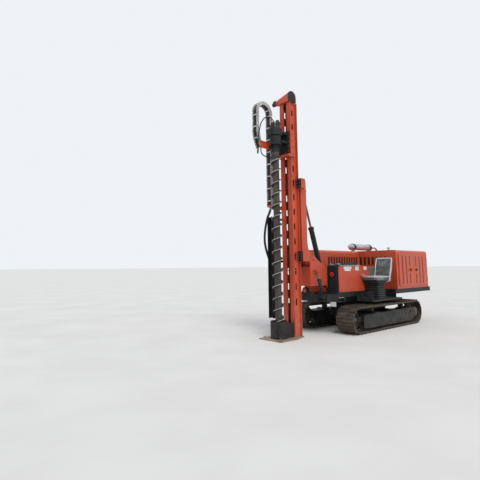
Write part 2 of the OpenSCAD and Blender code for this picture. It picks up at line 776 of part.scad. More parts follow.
module mast_carrier() color(orange) in_frame() {
    for (c = CLAMPS) {
        clamp_housing(c);
        // Wear pads that the mast's rear flange slides on
        both_sides() block(flange_back - run_gap - 2, flange_back - skin, 60, 150,
                           c[0] + 20, c[1] - 20);
    }
    // Box of the carrier with its flared lower end
    side_sheet(-carrier_half_w, carrier_half_w) polygon(concat(
        [[carrier_front, carrier_bottom], [carrier_front, carrier_top - 20],
         [carrier_rear + 10, carrier_top - 20], [carrier_rear, 3400], [carrier_rear, 2150],
         [carrier_rear - 2, 1780], [-344, carrier_bottom]]));
    // Legs between the plates of the swing frame, down to the sleeve on the tilt pin
    difference() {
        union() {
            both_sides() side_sheet(leg_in, leg_out) polygon(concat(
                [[-344, 1765], [carrier_rear + 20, 2300], [carrier_rear, 2300]],
                arc(curve_x, curve_z, curve_r - 50, -24, -64, 8),
                arc(tilt_x, tilt_z, leg_r, 190, 330, 8),
                [[-560, 1480]]));
            bar_y(tilt_x, tilt_z, -leg_out, leg_out, 2 * leg_r);
            block(-430, -560, -leg_out, leg_out, 1800, 1850);
        }
        bar_y(tilt_x, tilt_z, -swing_half_w, swing_half_w, tilt_d + 0.1);
    }
    // Gussets flush with the sides of the box
    both_sides() side_sheet(carrier_half_w - 25, carrier_half_w) polygon([
        [carrier_rear + 10, 1790], [carrier_rear - 40, 1800], [carrier_rear - 50, 1850],
        [carrier_rear - 34, 1950], [carrier_rear - 12, 2100], [carrier_rear + 10, 2250]]);
    // Ears for the rod of the tilt cylinder, with pins that stop short of its eye
    both_sides() {
        side_sheet(62, 84) {
            translate([tilt_eye_x, tilt_eye_z]) circle(50);
            translate([tilt_eye_x, tilt_eye_z - 50]) square([carrier_rear + 30 - tilt_eye_x, 100]);
        }
        bar_y(tilt_eye_x, tilt_eye_z, 84, 100, 44);
    }
}

// Dark wear jaws on the front of the clamp housings
module clamp_jaws() color(dark) in_frame()
    for (c = CLAMPS) both_sides()
        block(-88 + skin, -70, web_w / 2 + run_gap + 2, clamp_half_w, c[0] + 5, c[1] - 5);

// Tilt cylinder

tilt_base = [tilt_base_x, 0, roll_z];
tilt_eye = [tilt_eye_x, 0, tilt_eye_z];
tilt_lean = atan2(tilt_eye_x - tilt_base_x, tilt_eye_z - roll_z);
tilt_len = norm(tilt_eye - tilt_base);

module along_tilt(s) translate(tilt_base) rotate([0, tilt_lean, 0]) translate([0, 0, s]) children();

module tilt_barrel() color(dark) in_frame() {
    difference() {
        union() {
            bar_y(tilt_base_x, roll_z, -39, 39, 88);
            along_tilt(20) cylinder(h = 100, d = 74);
            along_tilt(100) cylinder(h = barrel_l - 100, d = barrel_d);
            along_tilt(barrel_l - 60) cylinder(h = 60, d = barrel_d + 22);
        }
        bar_y(tilt_base_x, roll_z, -50, 50, 50);
        along_tilt(200) cylinder(h = barrel_l, d = rod_d + 0.1);
    }
    bar_y(tilt_base_x, roll_z, -88, 88, 49.9);
}

// Length of the rod that stays in the barrel with the mast upright
rod_in = 660;
module tilt_rod() color("rosybrown") in_frame() {
    along_tilt(barrel_l - rod_in) cylinder(h = tilt_len - barrel_l + rod_in - 30, d = rod_d);
    difference() {
        bar_y(tilt_eye_x, tilt_eye_z, -50, 50, 84);
        bar_y(tilt_eye_x, tilt_eye_z, -60, 60, 46);
    }
}

// Roll rams

ram_len = norm([ram_eye_y - ram_base_y, ram_eye_z - roll_z]);
ram_lean = atan2(ram_base_y - ram_eye_y, ram_eye_z - roll_z);
ram_body = 290;
module along_ram(s) translate([ram_x, ram_base_y, roll_z]) rotate([ram_lean, 0, 0])
    translate([0, 0, s]) children();

module ram_barrel() {
    bar_x(ram_base_y, roll_z, ram_lug[1] + skin, ram_lug[2] - skin, 60);
    bar_x(ram_base_y, roll_z, ram_x - 56, ram_x + 56, 29.9);
    difference() {
        union() {
            along_ram(15) cylinder(h = 60, d = 50);
            along_ram(66) cylinder(h = ram_body - 66, d = ram_d);
        }
        along_ram(120) cylinder(h = ram_body, d = 36.1);
    }
}
module ram_rod() {
    along_ram(170) cylinder(h = ram_len - 170 - 18, d = 36);
    difference() {
        bar_x(ram_eye_y, ram_eye_z, ram_lug[1] + skin, ram_lug[2] - skin, 54);
        bar_x(ram_eye_y, ram_eye_z, ram_lug[1], ram_lug[2], 28);
    }
}

module roll_barrel_left() color(dark) in_frame() ram_barrel();
module roll_barrel_right() color(dark) in_frame() mirror([0, 1, 0]) ram_barrel();
module roll_rod_left() color(steel) in_frame() ram_rod();
module roll_rod_right() color(steel) in_frame() mirror([0, 1, 0]) ram_rod();

// Mast

slot_first = mast_top - 260;
slot_count = 14;

module mast_section() {
    square_x = mast_d / 2;
    // Rear flange, two webs and the two front flange strips
    translate([-square_x, -mast_w / 2]) square([mast_t, mast_w]);
    for (s = [-1, 1]) {
        translate([-square_x + 1, s * (web_w / 2 - mast_t / 2) - mast_t / 2])
            square([mast_d - 2, mast_t]);
        translate([square_x - mast_t, s > 0 ? groove_w / 2 : -mast_w / 2])
            square([mast_t, (mast_w - groove_w) / 2]);
    }
}

module mast_beam() color(orange) in_frame() {
    difference() {
        translate([0, 0, foot_t]) linear_extrude(mast_top - foot_t) mast_section();
        for (i = [0:slot_count - 1]) side_sheet(-mast_w, mast_w)
            translate([0, slot_first - i * slot_pitch]) {
                square([slot_w, slot_h - slot_w], center = true);
                for (s = [-1, 1]) translate([0, s * (slot_h - slot_w) / 2]) circle(d = slot_w, $fn = 24);
            }
    }
    // Top plate and stiffeners between the webs
    for (z = [foot_t, 1500, 3000, mast_top - 20])
        block(-mast_d / 2 + 5, 20, -web_w / 2 + 5, web_w / 2 - 5, z, z + 20);
}

chain_x = 62;
module feed_chain() color(black) in_frame() {
    // Front run of the feed chain in the groove, with a notch at every link
    link_pitch = 120;
    links = floor((mast_top - foot_t - 160) / link_pitch);
    side_sheet(-24, 24) polygon(concat(
        [for (i = [0:links], e = [[22, 0], [22, 84], [12, 94], [12, 110]])
            if (i < links || e[1] == 0) [chain_x + e[0], foot_t + 60 + i * link_pitch + e[1]]],
        [for (i = [links:-1:0], e = [[-12, 110], [-12, 94], [-22, 84], [-22, 0]])
            if (i < links || e[1] == 0) [chain_x + e[0], foot_t + 60 + i * link_pitch + e[1]]]));
    // Wheels that it runs round
    for (z = [foot_t + 110, mast_top - 75]) bar_y(0, z, -web_w / 2 + mast_t, web_w / 2 - mast_t, 70);
    for (z = [foot_t + 110, mast_top - 75]) bar_y(0, z, -28, 28, 2 * (chain_x - 22 - skin));
}

// Front of the cap, which stands out over the mast's front, and its depth on the left and right
cap_front = 180;
cap_d = 280;
cap_low_d = 230;
cap_drop = 95;
cap_axis = cap_front - cap_d / 2;
motor_z = mast_top + 110;
module cap_outline(w, top) intersection() {
    union() {
        translate([cap_front - w, mast_top]) square([w, top - mast_top - w / 2]);
        translate([cap_front - w / 2, top - w / 2]) circle(d = w, $fn = 32);
    }
    translate([cap_front - w, mast_top]) square([w, top - mast_top]);
}
module mast_cap() color(orange) in_frame() {
    hull() {
        side_sheet(mast_w / 2 - 14, mast_w / 2 - 24) cap_outline(cap_d - 4, mast_top + cap_h - 2);
        side_sheet(-mast_w / 2 + 10, -mast_w / 2)
            cap_outline(cap_low_d - 4, mast_top + cap_h - cap_drop);
    }
    // Housing of the chain's upper wheel shaft
    bar_y(cap_axis, motor_z, -mast_w / 2 - 13, -mast_w / 2 - 130, 150);
}
module cap_plates() color(dark) in_frame() {
    side_sheet(mast_w / 2, mast_w / 2 - 14) cap_outline(cap_d, mast_top + cap_h);
    side_sheet(-mast_w / 2, -mast_w / 2 - 13) cap_outline(cap_low_d, mast_top + cap_h - cap_drop);
}
module chain_motor() color(dark) in_frame() {
    bar_y(cap_axis, motor_z, -mast_w / 2 - 130, -mast_w / 2 - 160, 130);
    bar_y(cap_axis, motor_z, -mast_w / 2 - 160, -mast_w / 2 - 290, 104);
    block(cap_axis - 45, cap_axis + 45, -mast_w / 2 - 180, -mast_w / 2 - 260, motor_z + 20, motor_z + 74);
}

// Outline of the foot plate's left half: wide under the casing, narrower behind the mast
FOOT = [[-140, 200], [250, 330], [780, 330]];
module foot_plate() color("gray") in_frame() linear_extrude(foot_t) difference() {
    polygon(concat(FOOT, [for (i = [2:-1:0]) [FOOT[i][0], -FOOT[i][1]]]));
    translate([auger_x, 0]) circle(d = casing_d - 24);
}

module guide_casing() color(dark) in_frame() {
    difference() {
        union() {
            translate([auger_x, 0, foot_t]) cylinder(h = casing_h, d = casing_d);
            // Brackets to the mast, with their rib
            both_sides() block(mast_d / 2, auger_x - 120, 120, 136, foot_t, foot_t + casing_h - 60);
            block(mast_d / 2, auger_x - casing_d / 2 + 4, -120, 120, foot_t + 250, foot_t + 266);
        }
        translate([auger_x, 0, foot_t - 5]) cylinder(h = casing_h + 10, d = casing_d - 24);
        // Upright seam at the front left
        translate([auger_x, 0, foot_t - 5]) rotate(38)
            translate([casing_d / 2 - 6, -3, 0]) cube([10, 6, casing_h + 10]);
    }
}

// Hose chain: two rows of side plates and cross bars in an inverted U, beside the auger

chain_mid = chain_leg_x + chain_r;
front_leg_x = chain_mid + chain_r;
// Tail links under the front leg: turn towards the mast and length
TAIL = [[12, 190], [24, 190]];
tail_mid = [front_leg_x - TAIL[0][1] * sin(TAIL[0][0]), chain_head_z - TAIL[0][1] * cos(TAIL[0][0])];
tail_end = [tail_mid[0] - TAIL[1][1] * sin(TAIL[1][0]), tail_mid[1] - TAIL[1][1] * cos(TAIL[1][0])];
// Draws its children along each leg and tail link: x, z, turn and length of each
RUNS = [[chain_leg_x, chain_fixed_z, 0, chain_bend_z - chain_fixed_z],
        [front_leg_x, chain_head_z, 0, chain_bend_z - chain_head_z],
        [tail_mid[0], tail_mid[1], TAIL[0][0], TAIL[0][1]],
        [tail_end[0], tail_end[1], TAIL[1][0], TAIL[1][1]]];

module chain_band(r_in, r_out) {
    translate([chain_mid, chain_bend_z]) difference() {
        circle(r_out, $fn = 64);
        circle(r_in, $fn = 64);
        translate([-500, -1000]) square([1000, 1000]);
    }
    for (run = RUNS) translate([run[0], run[1]]) rotate(-run[2])
        translate([-(r_out - r_in) / 2, 0]) square([r_out - r_in, run[3] + (run[2] > 0 ? 4 : 0)]);
}
module hose_chain() color(steel) in_frame() {
    for (s = [-1, 1]) side_sheet(chain_y + s * chain_w / 2, chain_y + s * (chain_w / 2 - 10))
        chain_band(chain_r - chain_t / 2, chain_r + chain_t / 2);
    // Cross bars on both faces of the legs, the tail and the bend
    for (run = RUNS, s = [-1, 1], z = [60:270:run[3]])
        translate([run[0], chain_y, run[1]]) rotate([0, run[2], 0])
            translate([s * (chain_t / 2 - 4) - 4, -chain_w / 2 + 5, z]) cube([8, chain_w - 10, 26]);
    for (a = [15:30:165], s = [-1, 1]) translate([chain_mid, chain_y, chain_bend_z])
        rotate([0, -a, 0]) translate([chain_r + s * (chain_t / 2 - 4) - 4, -chain_w / 2 + 5, -13])
            cube([8, chain_w - 10, 26]);
}

// Hoses inside the chain: offset across the chain
CHAIN_HOSES = [-45, -15, 15, 45];
hose_d = 26;
module chain_hoses() color(black) in_frame() for (o = CHAIN_HOSES) {
    for (i = [0:3], run = [RUNS[i]]) translate([run[0], chain_y + o, run[1]]) rotate([0, run[2], 0])
        cylinder(h = run[3] + 4, d = hose_d - 1 - i % 2);
    translate([chain_mid, chain_y + o, chain_bend_z]) rotate([90, 0, 0])
        rotate_extrude(angle = 180) translate([chain_r, 0]) circle(d = hose_d);
}

// Bracket that holds the chain's fixed end to the mast's right side
module chain_bracket() color(orange) in_frame() {
    block(-55, 10, -web_w / 2, -215, chain_fixed_z - 90, chain_fixed_z);
    block(-55, chain_leg_x + 45, -203, -215, chain_fixed_z - 90, chain_fixed_z);
    block(chain_leg_x - 45, chain_leg_x + 45, -215, chain_y - 60, chain_fixed_z - 40, chain_fixed_z - skin);
}

// Open guide tray on the mast's right side, below the chain's fixed end
TRAY_ARMS = [700, 1700, 2700];
tray_t = 5;
module chain_tray() color(dark) in_frame() {
    translate([0, 0, 430]) linear_extrude(2780 - 430) difference() {
        translate([chain_leg_x - 45, chain_y - 65]) square([90, 130]);
        translate([chain_leg_x - 45 + tray_t, chain_y - 65 + tray_t])
            square([90, 130 - 2 * tray_t]);
    }
    for (z = TRAY_ARMS) {
        block(-55, 10, -web_w / 2, -215, z, z + 50);
        block(-55, chain_leg_x - 45, -203, -215, z, z + 50);
    }
}

// Loose hoses from the chain's fixed end, down and under to the carrier's right side
MAST_HOSE = [[400, -280, 3014], [401, -281, 2960], [422, -292, 2880], [476, -322, 2720],
             [530, -346, 2420], [522, -362, 2170], [444, -372, 1930], [330, -374, 1710],
             [200, -372, 1560], [50, -370, 1500], [-80, -368, 1540], [-172, -362, 1650],
             [-212, -344, 1770], [-222, -316, 1832], [-222, -298, 1844], [-222, -282, 1845]];
// The route moved sideways by o in the XZ plane, square to its own direction
function beside(p, o) = [for (k = [0:len(p) - 1])
    let (d = p[min(k + 1, len(p) - 1)] - p[max(k - 1, 0)], u = unit([d[0], 0, d[2]]))
    p[k] + o * [-u[2], 0, u[0]]];
module mast_hose(o) hose(beside(MAST_HOSE, o), 28, 2);
module mast_hose_outer() color(black) in_frame() mast_hose(17);
module mast_hose_inner() color(black) in_frame() mast_hose(-17);

// Head

carriage_x = mast_d / 2 + run_gap;
head_bottom = stem_top + 174;
carriage_low = stem_top - 80;
carriage_high = head_bottom + head_h + 6;
module head_carriage() color(orange) in_frame() {
    // Plate in front of the mast, cheeks beside it and keepers behind its front flanges
    block(carriage_x, carriage_x + 24, -196, 196, carriage_low, carriage_high);
    both_sides() {
        block(20, carriage_x, 176, 196, carriage_low, carriage_high);
        block(mast_d / 2 - mast_t - run_gap, mast_d / 2 - mast_t - run_gap - 22, web_w / 2 + run_gap,
              176, carriage_low, carriage_high);
    }
    // Dogs that hold the feed chain, and the cross bar under the gearbox plate
    block(100, carriage_x, -30, 30, carriage_low + 200, carriage_low + 400);
    block(carriage_x + 24, carriage_x + 110, -196, 196, carriage_low, carriage_low + 60);
}

low_d = head_d - 48;
shoulder = 227;
// Webs that hold the gearbox: height above its underside and diameter of the gearbox there
WEBS = [[70, low_d], [shoulder + 60, head_d]];
module head_plate() color(dark) in_frame() {
    block(carriage_x + 24, carriage_x + 48, -160, 160, stem_top + 10, head_bottom + head_h);
    for (w = WEBS) difference() {
        block(carriage_x + 40, auger_x - 90, -120, 120, head_bottom + w[0], head_bottom + w[0] + 40);
        translate([auger_x, 0, head_bottom]) cylinder(h = head_h, d = w[1] + 2 * skin);
    }
}

module rotary_head() color(dark) in_frame() translate([auger_x, 0, 0]) {
    translate([0, 0, stem_top]) cylinder(h = head_bottom - stem_top, d = 190);
    translate([0, 0, head_bottom]) cylinder(h = shoulder, d = low_d);
    translate([0, 0, head_bottom]) cylinder(h = 24, d = low_d + 20);
    translate([0, 0, head_bottom + shoulder]) cylinder(h = head_h - shoulder, d = head_d);
    translate([0, 0, head_bottom + shoulder]) cylinder(h = 14, d = head_d + 14);
}

head_top = head_bottom + head_h;
motor_y = 76;
module head_motors() color(dark) in_frame() for (s = [-1, 1])
    translate([auger_x, s * motor_y, head_top]) {
        cylinder(h = 36, d = 136);
        translate([0, 0, 36]) cylinder(h = 134, d = 108);
        translate([0, 0, 170]) cylinder(h = 34, d = 80);
        translate([-30, s > 0 ? 30 : -78, 70]) cube([60, 48, 70]);
    }

arm_out = chain_y + chain_w / 2 + 8;
module chain_arm() color(orange) in_frame() difference() {
    union() {
        block(auger_x - 50, tail_end[0] + 65, arm_out, arm_out + 16, tail_end[1] - 50, head_bottom + 100);
        block(auger_x - 50, auger_x + 50, -110, arm_out + 16, head_bottom + 28, head_bottom + 100);
        // Plate square to the last tail link, which ends on it
        translate([tail_end[0], 0, tail_end[1]]) rotate([0, TAIL[1][0], 0])
            block(-62, 62, chain_y - chain_w / 2, arm_out, -skin, -skin - 16);
    }
    translate([auger_x, 0, head_bottom]) cylinder(h = head_h, d = low_d + 2 * skin);
}

// Loose hoses from the chain's moving end: round to a motor, and under to the gearbox plate
HEAD_HOSE_UPPER = [[760, -300, 4419], [764, -300, 4310], [800, -282, 4270], [846, -232, 4330],
                   [872, -180, 4480], [882, -142, 4720], [872, -84, 4930], [816, -14, 5056],
                   [728, 44, 5080], [634, 74, 5020], [580, 76, 4976], [535, 76, 4965]];
HEAD_HOSE_LOWER = [[710, -260, 4441], [706, -258, 4310], [664, -236, 4240], [570, -202, 4200],
                   [462, -180, 4190], [356, -170, 4220], [270, -160, 4290], [216, -150, 4340],
                   [180, -146, 4350]];
module head_hose_upper() color(black) in_frame() hose(HEAD_HOSE_UPPER, 26, 2);
module head_hose_lower() color(black) in_frame() hose(HEAD_HOSE_LOWER, 26, 2);

// Auger

stem_bottom = 60;
module auger_stem() color("dimgray") in_frame() translate([auger_x, 0, 0]) {
    translate([0, 0, stem_bottom + 40]) cylinder(h = stem_top - stem_bottom - 40, d = stem_d);
    translate([0, 0, 30]) cylinder(h = stem_bottom + 10, d1 = 30, d2 = stem_d - 40);
    // Coupling collar under the rotary head
    translate([0, 0, stem_top - 120]) cylinder(h = 120, d = stem_d + 22);
}

// Helical flight: a strip of four corners that climbs round the stem
flight_t = 14;
flight_turns = (stem_top - 140 - flight_z) / flight_pitch;
flight_step = 20;
module auger_flight() color("gray") in_frame() translate([auger_x, 0, 0]) {
    n = floor(flight_turns * 360 / flight_step);
    corners = [[stem_d / 2 - 2, 0], [flight_d / 2, 0], [flight_d / 2, flight_t],
               [stem_d / 2 - 2, flight_t]];
    points = [for (i = [0:n], c = corners) let (a = i * flight_step)
        [c[0] * cos(a), c[0] * sin(a), flight_z + flight_pitch * a / 360 + c[1]]];
    walls = [for (i = [0:n - 1], k = [0:3], half = [0, 1])
        let (a = 4 * i + k, b = 4 * i + (k + 1) % 4)
        half == 0 ? [a, b, b + 4] : [a, b + 4, a + 4]];
    polyhedron(points, concat(walls, [[3, 2, 1, 0]], [[for (k = [0:3]) 4 * n + k]]), convexity = 20);
}

track_left();
track_right();
track_frame_left();
track_frame_right();
running_gear_left();
running_gear_right();
cross_beam();
deck();
front_bracket();
driver_platform();
side_hood();
engine_cover();
engine_block();
door_left_front();
door_left_rear();
door_right_front();
door_right_rear();
muffler();
console();
console_front();
console_tank();
control_levers();
seat_pedestal();
seat_cushion();
seat_back();
sign_plate();
swing_frame();
mast_carrier();
clamp_jaws();
tilt_barrel();
tilt_rod();
roll_barrel_left();
roll_barrel_right();
roll_rod_left();
roll_rod_right();
mast_beam();
feed_chain();
mast_cap();
cap_plates();
chain_motor();
foot_plate();
guide_casing();
hose_chain();
chain_hoses();
chain_bracket();
chain_tray();
mast_hose_outer();
mast_hose_inner();
head_carriage();
head_plate();
rotary_head();
head_motors();
chain_arm();
head_hose_upper();
head_hose_lower();
auger_stem();
auger_flight();
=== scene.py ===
"""Pile driver rig: materials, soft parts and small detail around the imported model."""
import json
import math

import bmesh
import bpy
from mathutils import Matrix, Quaternion, Vector, noise


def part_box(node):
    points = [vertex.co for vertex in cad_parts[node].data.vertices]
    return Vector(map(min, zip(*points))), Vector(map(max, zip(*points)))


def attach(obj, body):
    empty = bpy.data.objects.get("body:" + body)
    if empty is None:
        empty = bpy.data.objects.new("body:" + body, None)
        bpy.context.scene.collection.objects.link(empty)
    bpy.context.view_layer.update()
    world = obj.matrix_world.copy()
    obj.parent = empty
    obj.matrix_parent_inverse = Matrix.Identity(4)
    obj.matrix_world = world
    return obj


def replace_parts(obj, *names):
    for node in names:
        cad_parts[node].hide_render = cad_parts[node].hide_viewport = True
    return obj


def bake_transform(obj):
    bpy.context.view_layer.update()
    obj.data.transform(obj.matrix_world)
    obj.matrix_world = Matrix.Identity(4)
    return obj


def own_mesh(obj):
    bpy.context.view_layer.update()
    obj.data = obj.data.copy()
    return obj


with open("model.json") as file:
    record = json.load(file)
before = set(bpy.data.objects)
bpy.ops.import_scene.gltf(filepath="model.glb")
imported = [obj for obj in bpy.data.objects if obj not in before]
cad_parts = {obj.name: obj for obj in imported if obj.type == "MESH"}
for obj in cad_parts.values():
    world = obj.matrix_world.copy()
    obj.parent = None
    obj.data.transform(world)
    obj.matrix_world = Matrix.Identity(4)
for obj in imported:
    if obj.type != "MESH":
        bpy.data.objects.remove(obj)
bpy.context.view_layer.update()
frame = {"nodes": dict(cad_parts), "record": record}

NODES = frame["nodes"]
# The mast's centre line, from which places along the rig are measured
MAST_X = sum(corner.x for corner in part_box("mast_beam")) / 2
# Camera, worked out from the photograph's horizon and its two vanishing points
CAMERA_AT = (7.21, 6.32, 1.6)
CAMERA_HEADING = (-0.6626, -0.749)
CAMERA_PITCH = math.radians(7.55)
CAMERA_LENS = 30.0
CAMERA_SHIFT = -0.054
CAMERA_ROLL = math.radians(0.4)
SUN_TOWARDS = (-0.35, -0.75, -1.0)
FLOOR_REACH = 1000
# Seed of the noise vectors that crease the film, which are otherwise drawn by the clock
FILM_SEED = 1795766530


def at(x, y, z):
    """A point measured from the mast's centre line, in the row frame."""
    return Vector((x + MAST_X, y, z))


def add_object(name, data):
    new = bpy.data.objects.new(name, data)
    bpy.context.scene.collection.objects.link(new)
    return new


def feed(tree, socket, value):
    """Links a socket, or sets its value where value is a number or a colour."""
    if isinstance(value, bpy.types.NodeSocket):
        tree.links.new(value, socket)
    elif isinstance(value, (tuple, list)) and len(value) == 3 and socket.type == "RGBA":
        socket.default_value = (*value, 1)
    else:
        socket.default_value = value


def add_node(tree, kind, inputs=None, **settings):
    """A new node with its settings, and with its inputs fed by name or number."""
    new = tree.nodes.new(kind)
    for key, value in settings.items():
        setattr(new, key, value)
    for key, value in (inputs or {}).items():
        feed(tree, new.inputs[key], value)
    return new


SIDES = (("left", 1), ("right", -1))


# Stage

def add_camera():
    """The photograph's viewpoint: eye height, a little upward, ahead of the rig on its left."""
    data = bpy.data.cameras.new("camera")
    data.lens = CAMERA_LENS
    data.sensor_width = 36.0
    data.shift_y = CAMERA_SHIFT
    data.clip_end = 3000.0
    camera = add_object("camera", data)
    level = math.cos(CAMERA_PITCH)
    look = Vector((CAMERA_HEADING[0] * level, CAMERA_HEADING[1] * level, math.sin(CAMERA_PITCH)))
    camera.location = at(*CAMERA_AT)
    turn = look.to_track_quat("-Z", "Y") @ Quaternion((0, 0, 1), -CAMERA_ROLL)
    camera.rotation_euler = turn.to_euler()
    bpy.context.scene.camera = camera


def add_floor():
    mesh = bpy.data.meshes.new("floor")
    corners = [(x * FLOOR_REACH, y * FLOOR_REACH, 0) for x, y in ((-1, -1), (1, -1), (1, 1), (-1, 1))]
    mesh.from_pydata(corners, [], [(0, 1, 2, 3)])
    mesh.materials.append(floor_material())
    add_object("floor", mesh)


def add_sun():
    lamp = bpy.data.lights.new("sun", "SUN")
    lamp.energy = 1.6
    lamp.angle = math.radians(25)
    lamp.color = (1.0, 0.97, 0.93)
    turn = Vector(SUN_TOWARDS).to_track_quat("-Z", "Y")
    add_object("sun", lamp).rotation_euler = turn.to_euler()


def add_world():
    """Pale overcast sky; the camera, gloss and clear film see it nearly white."""
    world = bpy.data.worlds.new("world")
    bpy.context.scene.world = world
    world.use_nodes = True
    tree = world.node_tree
    light = tree.nodes["Background"]
    feed(tree, light.inputs["Color"], (0.80, 0.86, 0.94))
    feed(tree, light.inputs["Strength"], 0.72)
    seen = add_node(tree, "ShaderNodeBackground", {"Color": (0.86, 0.89, 0.93)})
    ray = tree.nodes.new("ShaderNodeLightPath").outputs
    any_ray = ray["Is Camera Ray"]
    for kind in ("Is Glossy Ray", "Is Transmission Ray"):
        either = add_node(tree, "ShaderNodeMath", {0: any_ray, 1: ray[kind]}, operation="MAXIMUM")
        any_ray = either.outputs[0]
    mix = add_node(tree, "ShaderNodeMixShader", {0: any_ray, 1: light.outputs[0], 2: seen.outputs[0]})
    feed(tree, tree.nodes["World Output"].inputs["Surface"], mix.outputs[0])


# Materials

class Finish:
    """A material's node tree, with short calls for the nodes that this scene uses."""

    def __init__(self, name):
        self.material = bpy.data.materials.new(name)
        self.material.use_nodes = True
        self.tree = self.material.node_tree
        self.shader = self.tree.nodes["Principled BSDF"]
        self.place = self.node("ShaderNodeTexCoord").outputs["Object"]

    def node(self, kind, inputs=None, **settings):
        return add_node(self.tree, kind, inputs, **settings)

    def put(self, **values):
        """Sets the shader's own sockets."""
        for key, value in values.items():
            feed(self.tree, self.shader.inputs[key.replace("_", " ")], value)
        return self

    def noise(self, scale, detail=4.0, rough=0.55, stretch=(1, 1, 1), distort=0.0):
        mapping = self.node("ShaderNodeMapping", {"Vector": self.place, "Scale": stretch})
        inputs = {"Vector": mapping.outputs[0], "Scale": scale, "Detail": detail, "Roughness": rough,
                  "Distortion": distort}
        return self.node("ShaderNodeTexNoise", inputs).outputs["Fac"]

    def math(self, operation, a, b=0.0):
        return self.node("ShaderNodeMath", {0: a, 1: b}, operation=operation).outputs[0]

    def vector(self, operation, a, b=(0, 0, 0)):
        return self.node("ShaderNodeVectorMath", {0: a, 1: b}, operation=operation).outputs

    def span(self, value, low, high, out_low=0.0, out_high=1.0):
        """Value from low to high, as out_low to out_high, and level beyond."""
        inputs = {"Value": value, "From Min": low, "From Max": high, "To Min": out_low,
                  "To Max": out_high}
        return self.node("ShaderNodeMapRange", inputs, interpolation_type="SMOOTHSTEP").outputs[0]

    def mix(self, share, a, b):
        return self.node("ShaderNodeMix", {0: share, 6: a, 7: b}, data_type="RGBA").outputs[2]

    def normal(self):
        return self.node("ShaderNodeNewGeometry").outputs["Normal"]

    def axis(self, index, of_normal=False):
        """The surface's height or normal along X, Y or Z."""
        source = self.normal() if of_normal else self.place
        return self.node("ShaderNodeSeparateXYZ", {0: source}).outputs[index]

    def round_normal(self, radius):
        """The normal, leaning near edges as if a radius rounded them."""
        return self.node("ShaderNodeBevel", {"Radius": radius}, samples=4).outputs[0]

    def edges(self, radius):
        """1 at an edge of the shape, 0 on its flats, by how far a rounded normal leans."""
        lean = self.vector("DOT_PRODUCT", self.round_normal(radius), self.normal())
        return self.span(lean["Value"], 0.98, 0.80)

    def relief(self, height, strength, distance, rounded=0.0):
        """Bump from height, over edges that look rounded by a radius."""
        inputs = {"Strength": strength, "Distance": distance, "Height": height}
        if rounded:
            inputs["Normal"] = self.round_normal(rounded)
        return self.put(Normal=self.node("ShaderNodeBump", inputs).outputs[0])

    def mottle(self, scale, detail, low, high, stretch=(1, 1, 1)):
        """Roughness that wanders from low to high."""
        spots = self.noise(scale, detail, stretch=stretch)
        return self.put(Roughness=self.span(spots, 0.3, 0.7, low, high))

    def wear(self, base, radius, share, scale, noise_from, noise_to, worn):
        """Paint rubbed through to a worn colour in places along the edges."""
        broken = self.span(self.noise(scale, 3.0), noise_from, noise_to)
        edge = self.math("MULTIPLY", self.edges(radius), broken)
        return self.mix(self.math("MULTIPLY", edge, share), base, worn)

    def dust(self, colour, amount, dust_colour, level=1.3):
        """Dust on what faces up and on what lies below a level, broken up by noise."""
        up = self.span(self.axis(2, of_normal=True), 0.35, 0.95, 0.0, 0.75)
        low = self.span(self.axis(2), level, 0.05, 0.0, 0.8)
        patch = self.span(self.noise(5.0, 6.0, 0.65), 0.38, 0.68, 0.25, 1.0)
        share = self.math("MULTIPLY", self.math("MAXIMUM", up, low), patch)
        return self.mix(self.math("MULTIPLY", share, amount), colour, dust_colour)


DUST = (0.36, 0.27, 0.19)
PALE_DUST = (0.50, 0.42, 0.34)


def floor_material():
    f = Finish("floor")
    tone = f.span(f.noise(0.7, 5.0), 0.3, 0.7)
    return f.put(Base_Color=f.mix(tone, (0.74, 0.72, 0.69), (0.79, 0.77, 0.74)),
                 Roughness=0.95).material


def orange_paint():
    f = Finish("orange_paint")
    tone = f.span(f.noise(0.9, 3.0), 0.3, 0.7)
    base = f.mix(tone, (0.49, 0.058, 0.019), (0.58, 0.076, 0.026))
    streak = f.span(f.noise(9.0, 5.0, stretch=(1, 1, 0.08)), 0.55, 0.75, 0.0, 0.35)
    base = f.mix(streak, base, (0.42, 0.085, 0.045))
    base = f.dust(base, 0.32, PALE_DUST)
    base = f.wear(base, 0.006, 0.7, 35.0, 0.5, 0.62, (0.22, 0.15, 0.12))
    f.put(Base_Color=base, Coat_Weight=0.15, Coat_Roughness=0.25)
    f.mottle(14.0, 4.0, 0.36, 0.55)
    return f.relief(f.noise(60.0, 3.0), 0.08, 0.002, rounded=0.004).material


def dark_paint(name, colour=(0.0125, 0.0135, 0.0155), dusty=0.10, level=1.2):
    f = Finish(name)
    tone = f.span(f.noise(2.5, 5.0), 0.35, 0.65)
    base = f.mix(tone, colour, tuple(c * 1.7 for c in colour))
    base = f.dust(base, dusty, DUST, level)
    base = f.wear(base, 0.005, 0.5, 30.0, 0.45, 0.62, (0.12, 0.11, 0.10))
    f.put(Base_Color=base, Specular_IOR_Level=0.28)
    f.mottle(12.0, 4.0, 0.45, 0.70)
    return f.relief(f.noise(80.0, 3.0), 0.12, 0.002, rounded=0.004).material


def bare_steel(name, dark, light, metal=0.6, rough=(0.35, 0.65), stretch=(1, 1, 1), worn=None,
               dusty=0.0):
    f = Finish(name)
    tone = f.span(f.noise(6.0, 6.0, 0.6, stretch), 0.35, 0.68)
    base = f.mix(tone, dark, light)
    if dusty:
        base = f.dust(base, dusty, DUST, 0.7)
    if worn:
        base = f.mix(f.math("MULTIPLY", f.edges(0.008), 0.85), base, worn)
    f.put(Base_Color=base, Metallic=metal)
    f.mottle(20.0, 4.0, *rough, stretch)
    return f.relief(f.noise(45.0, 5.0, stretch=stretch), 0.25, 0.002, rounded=0.003).material


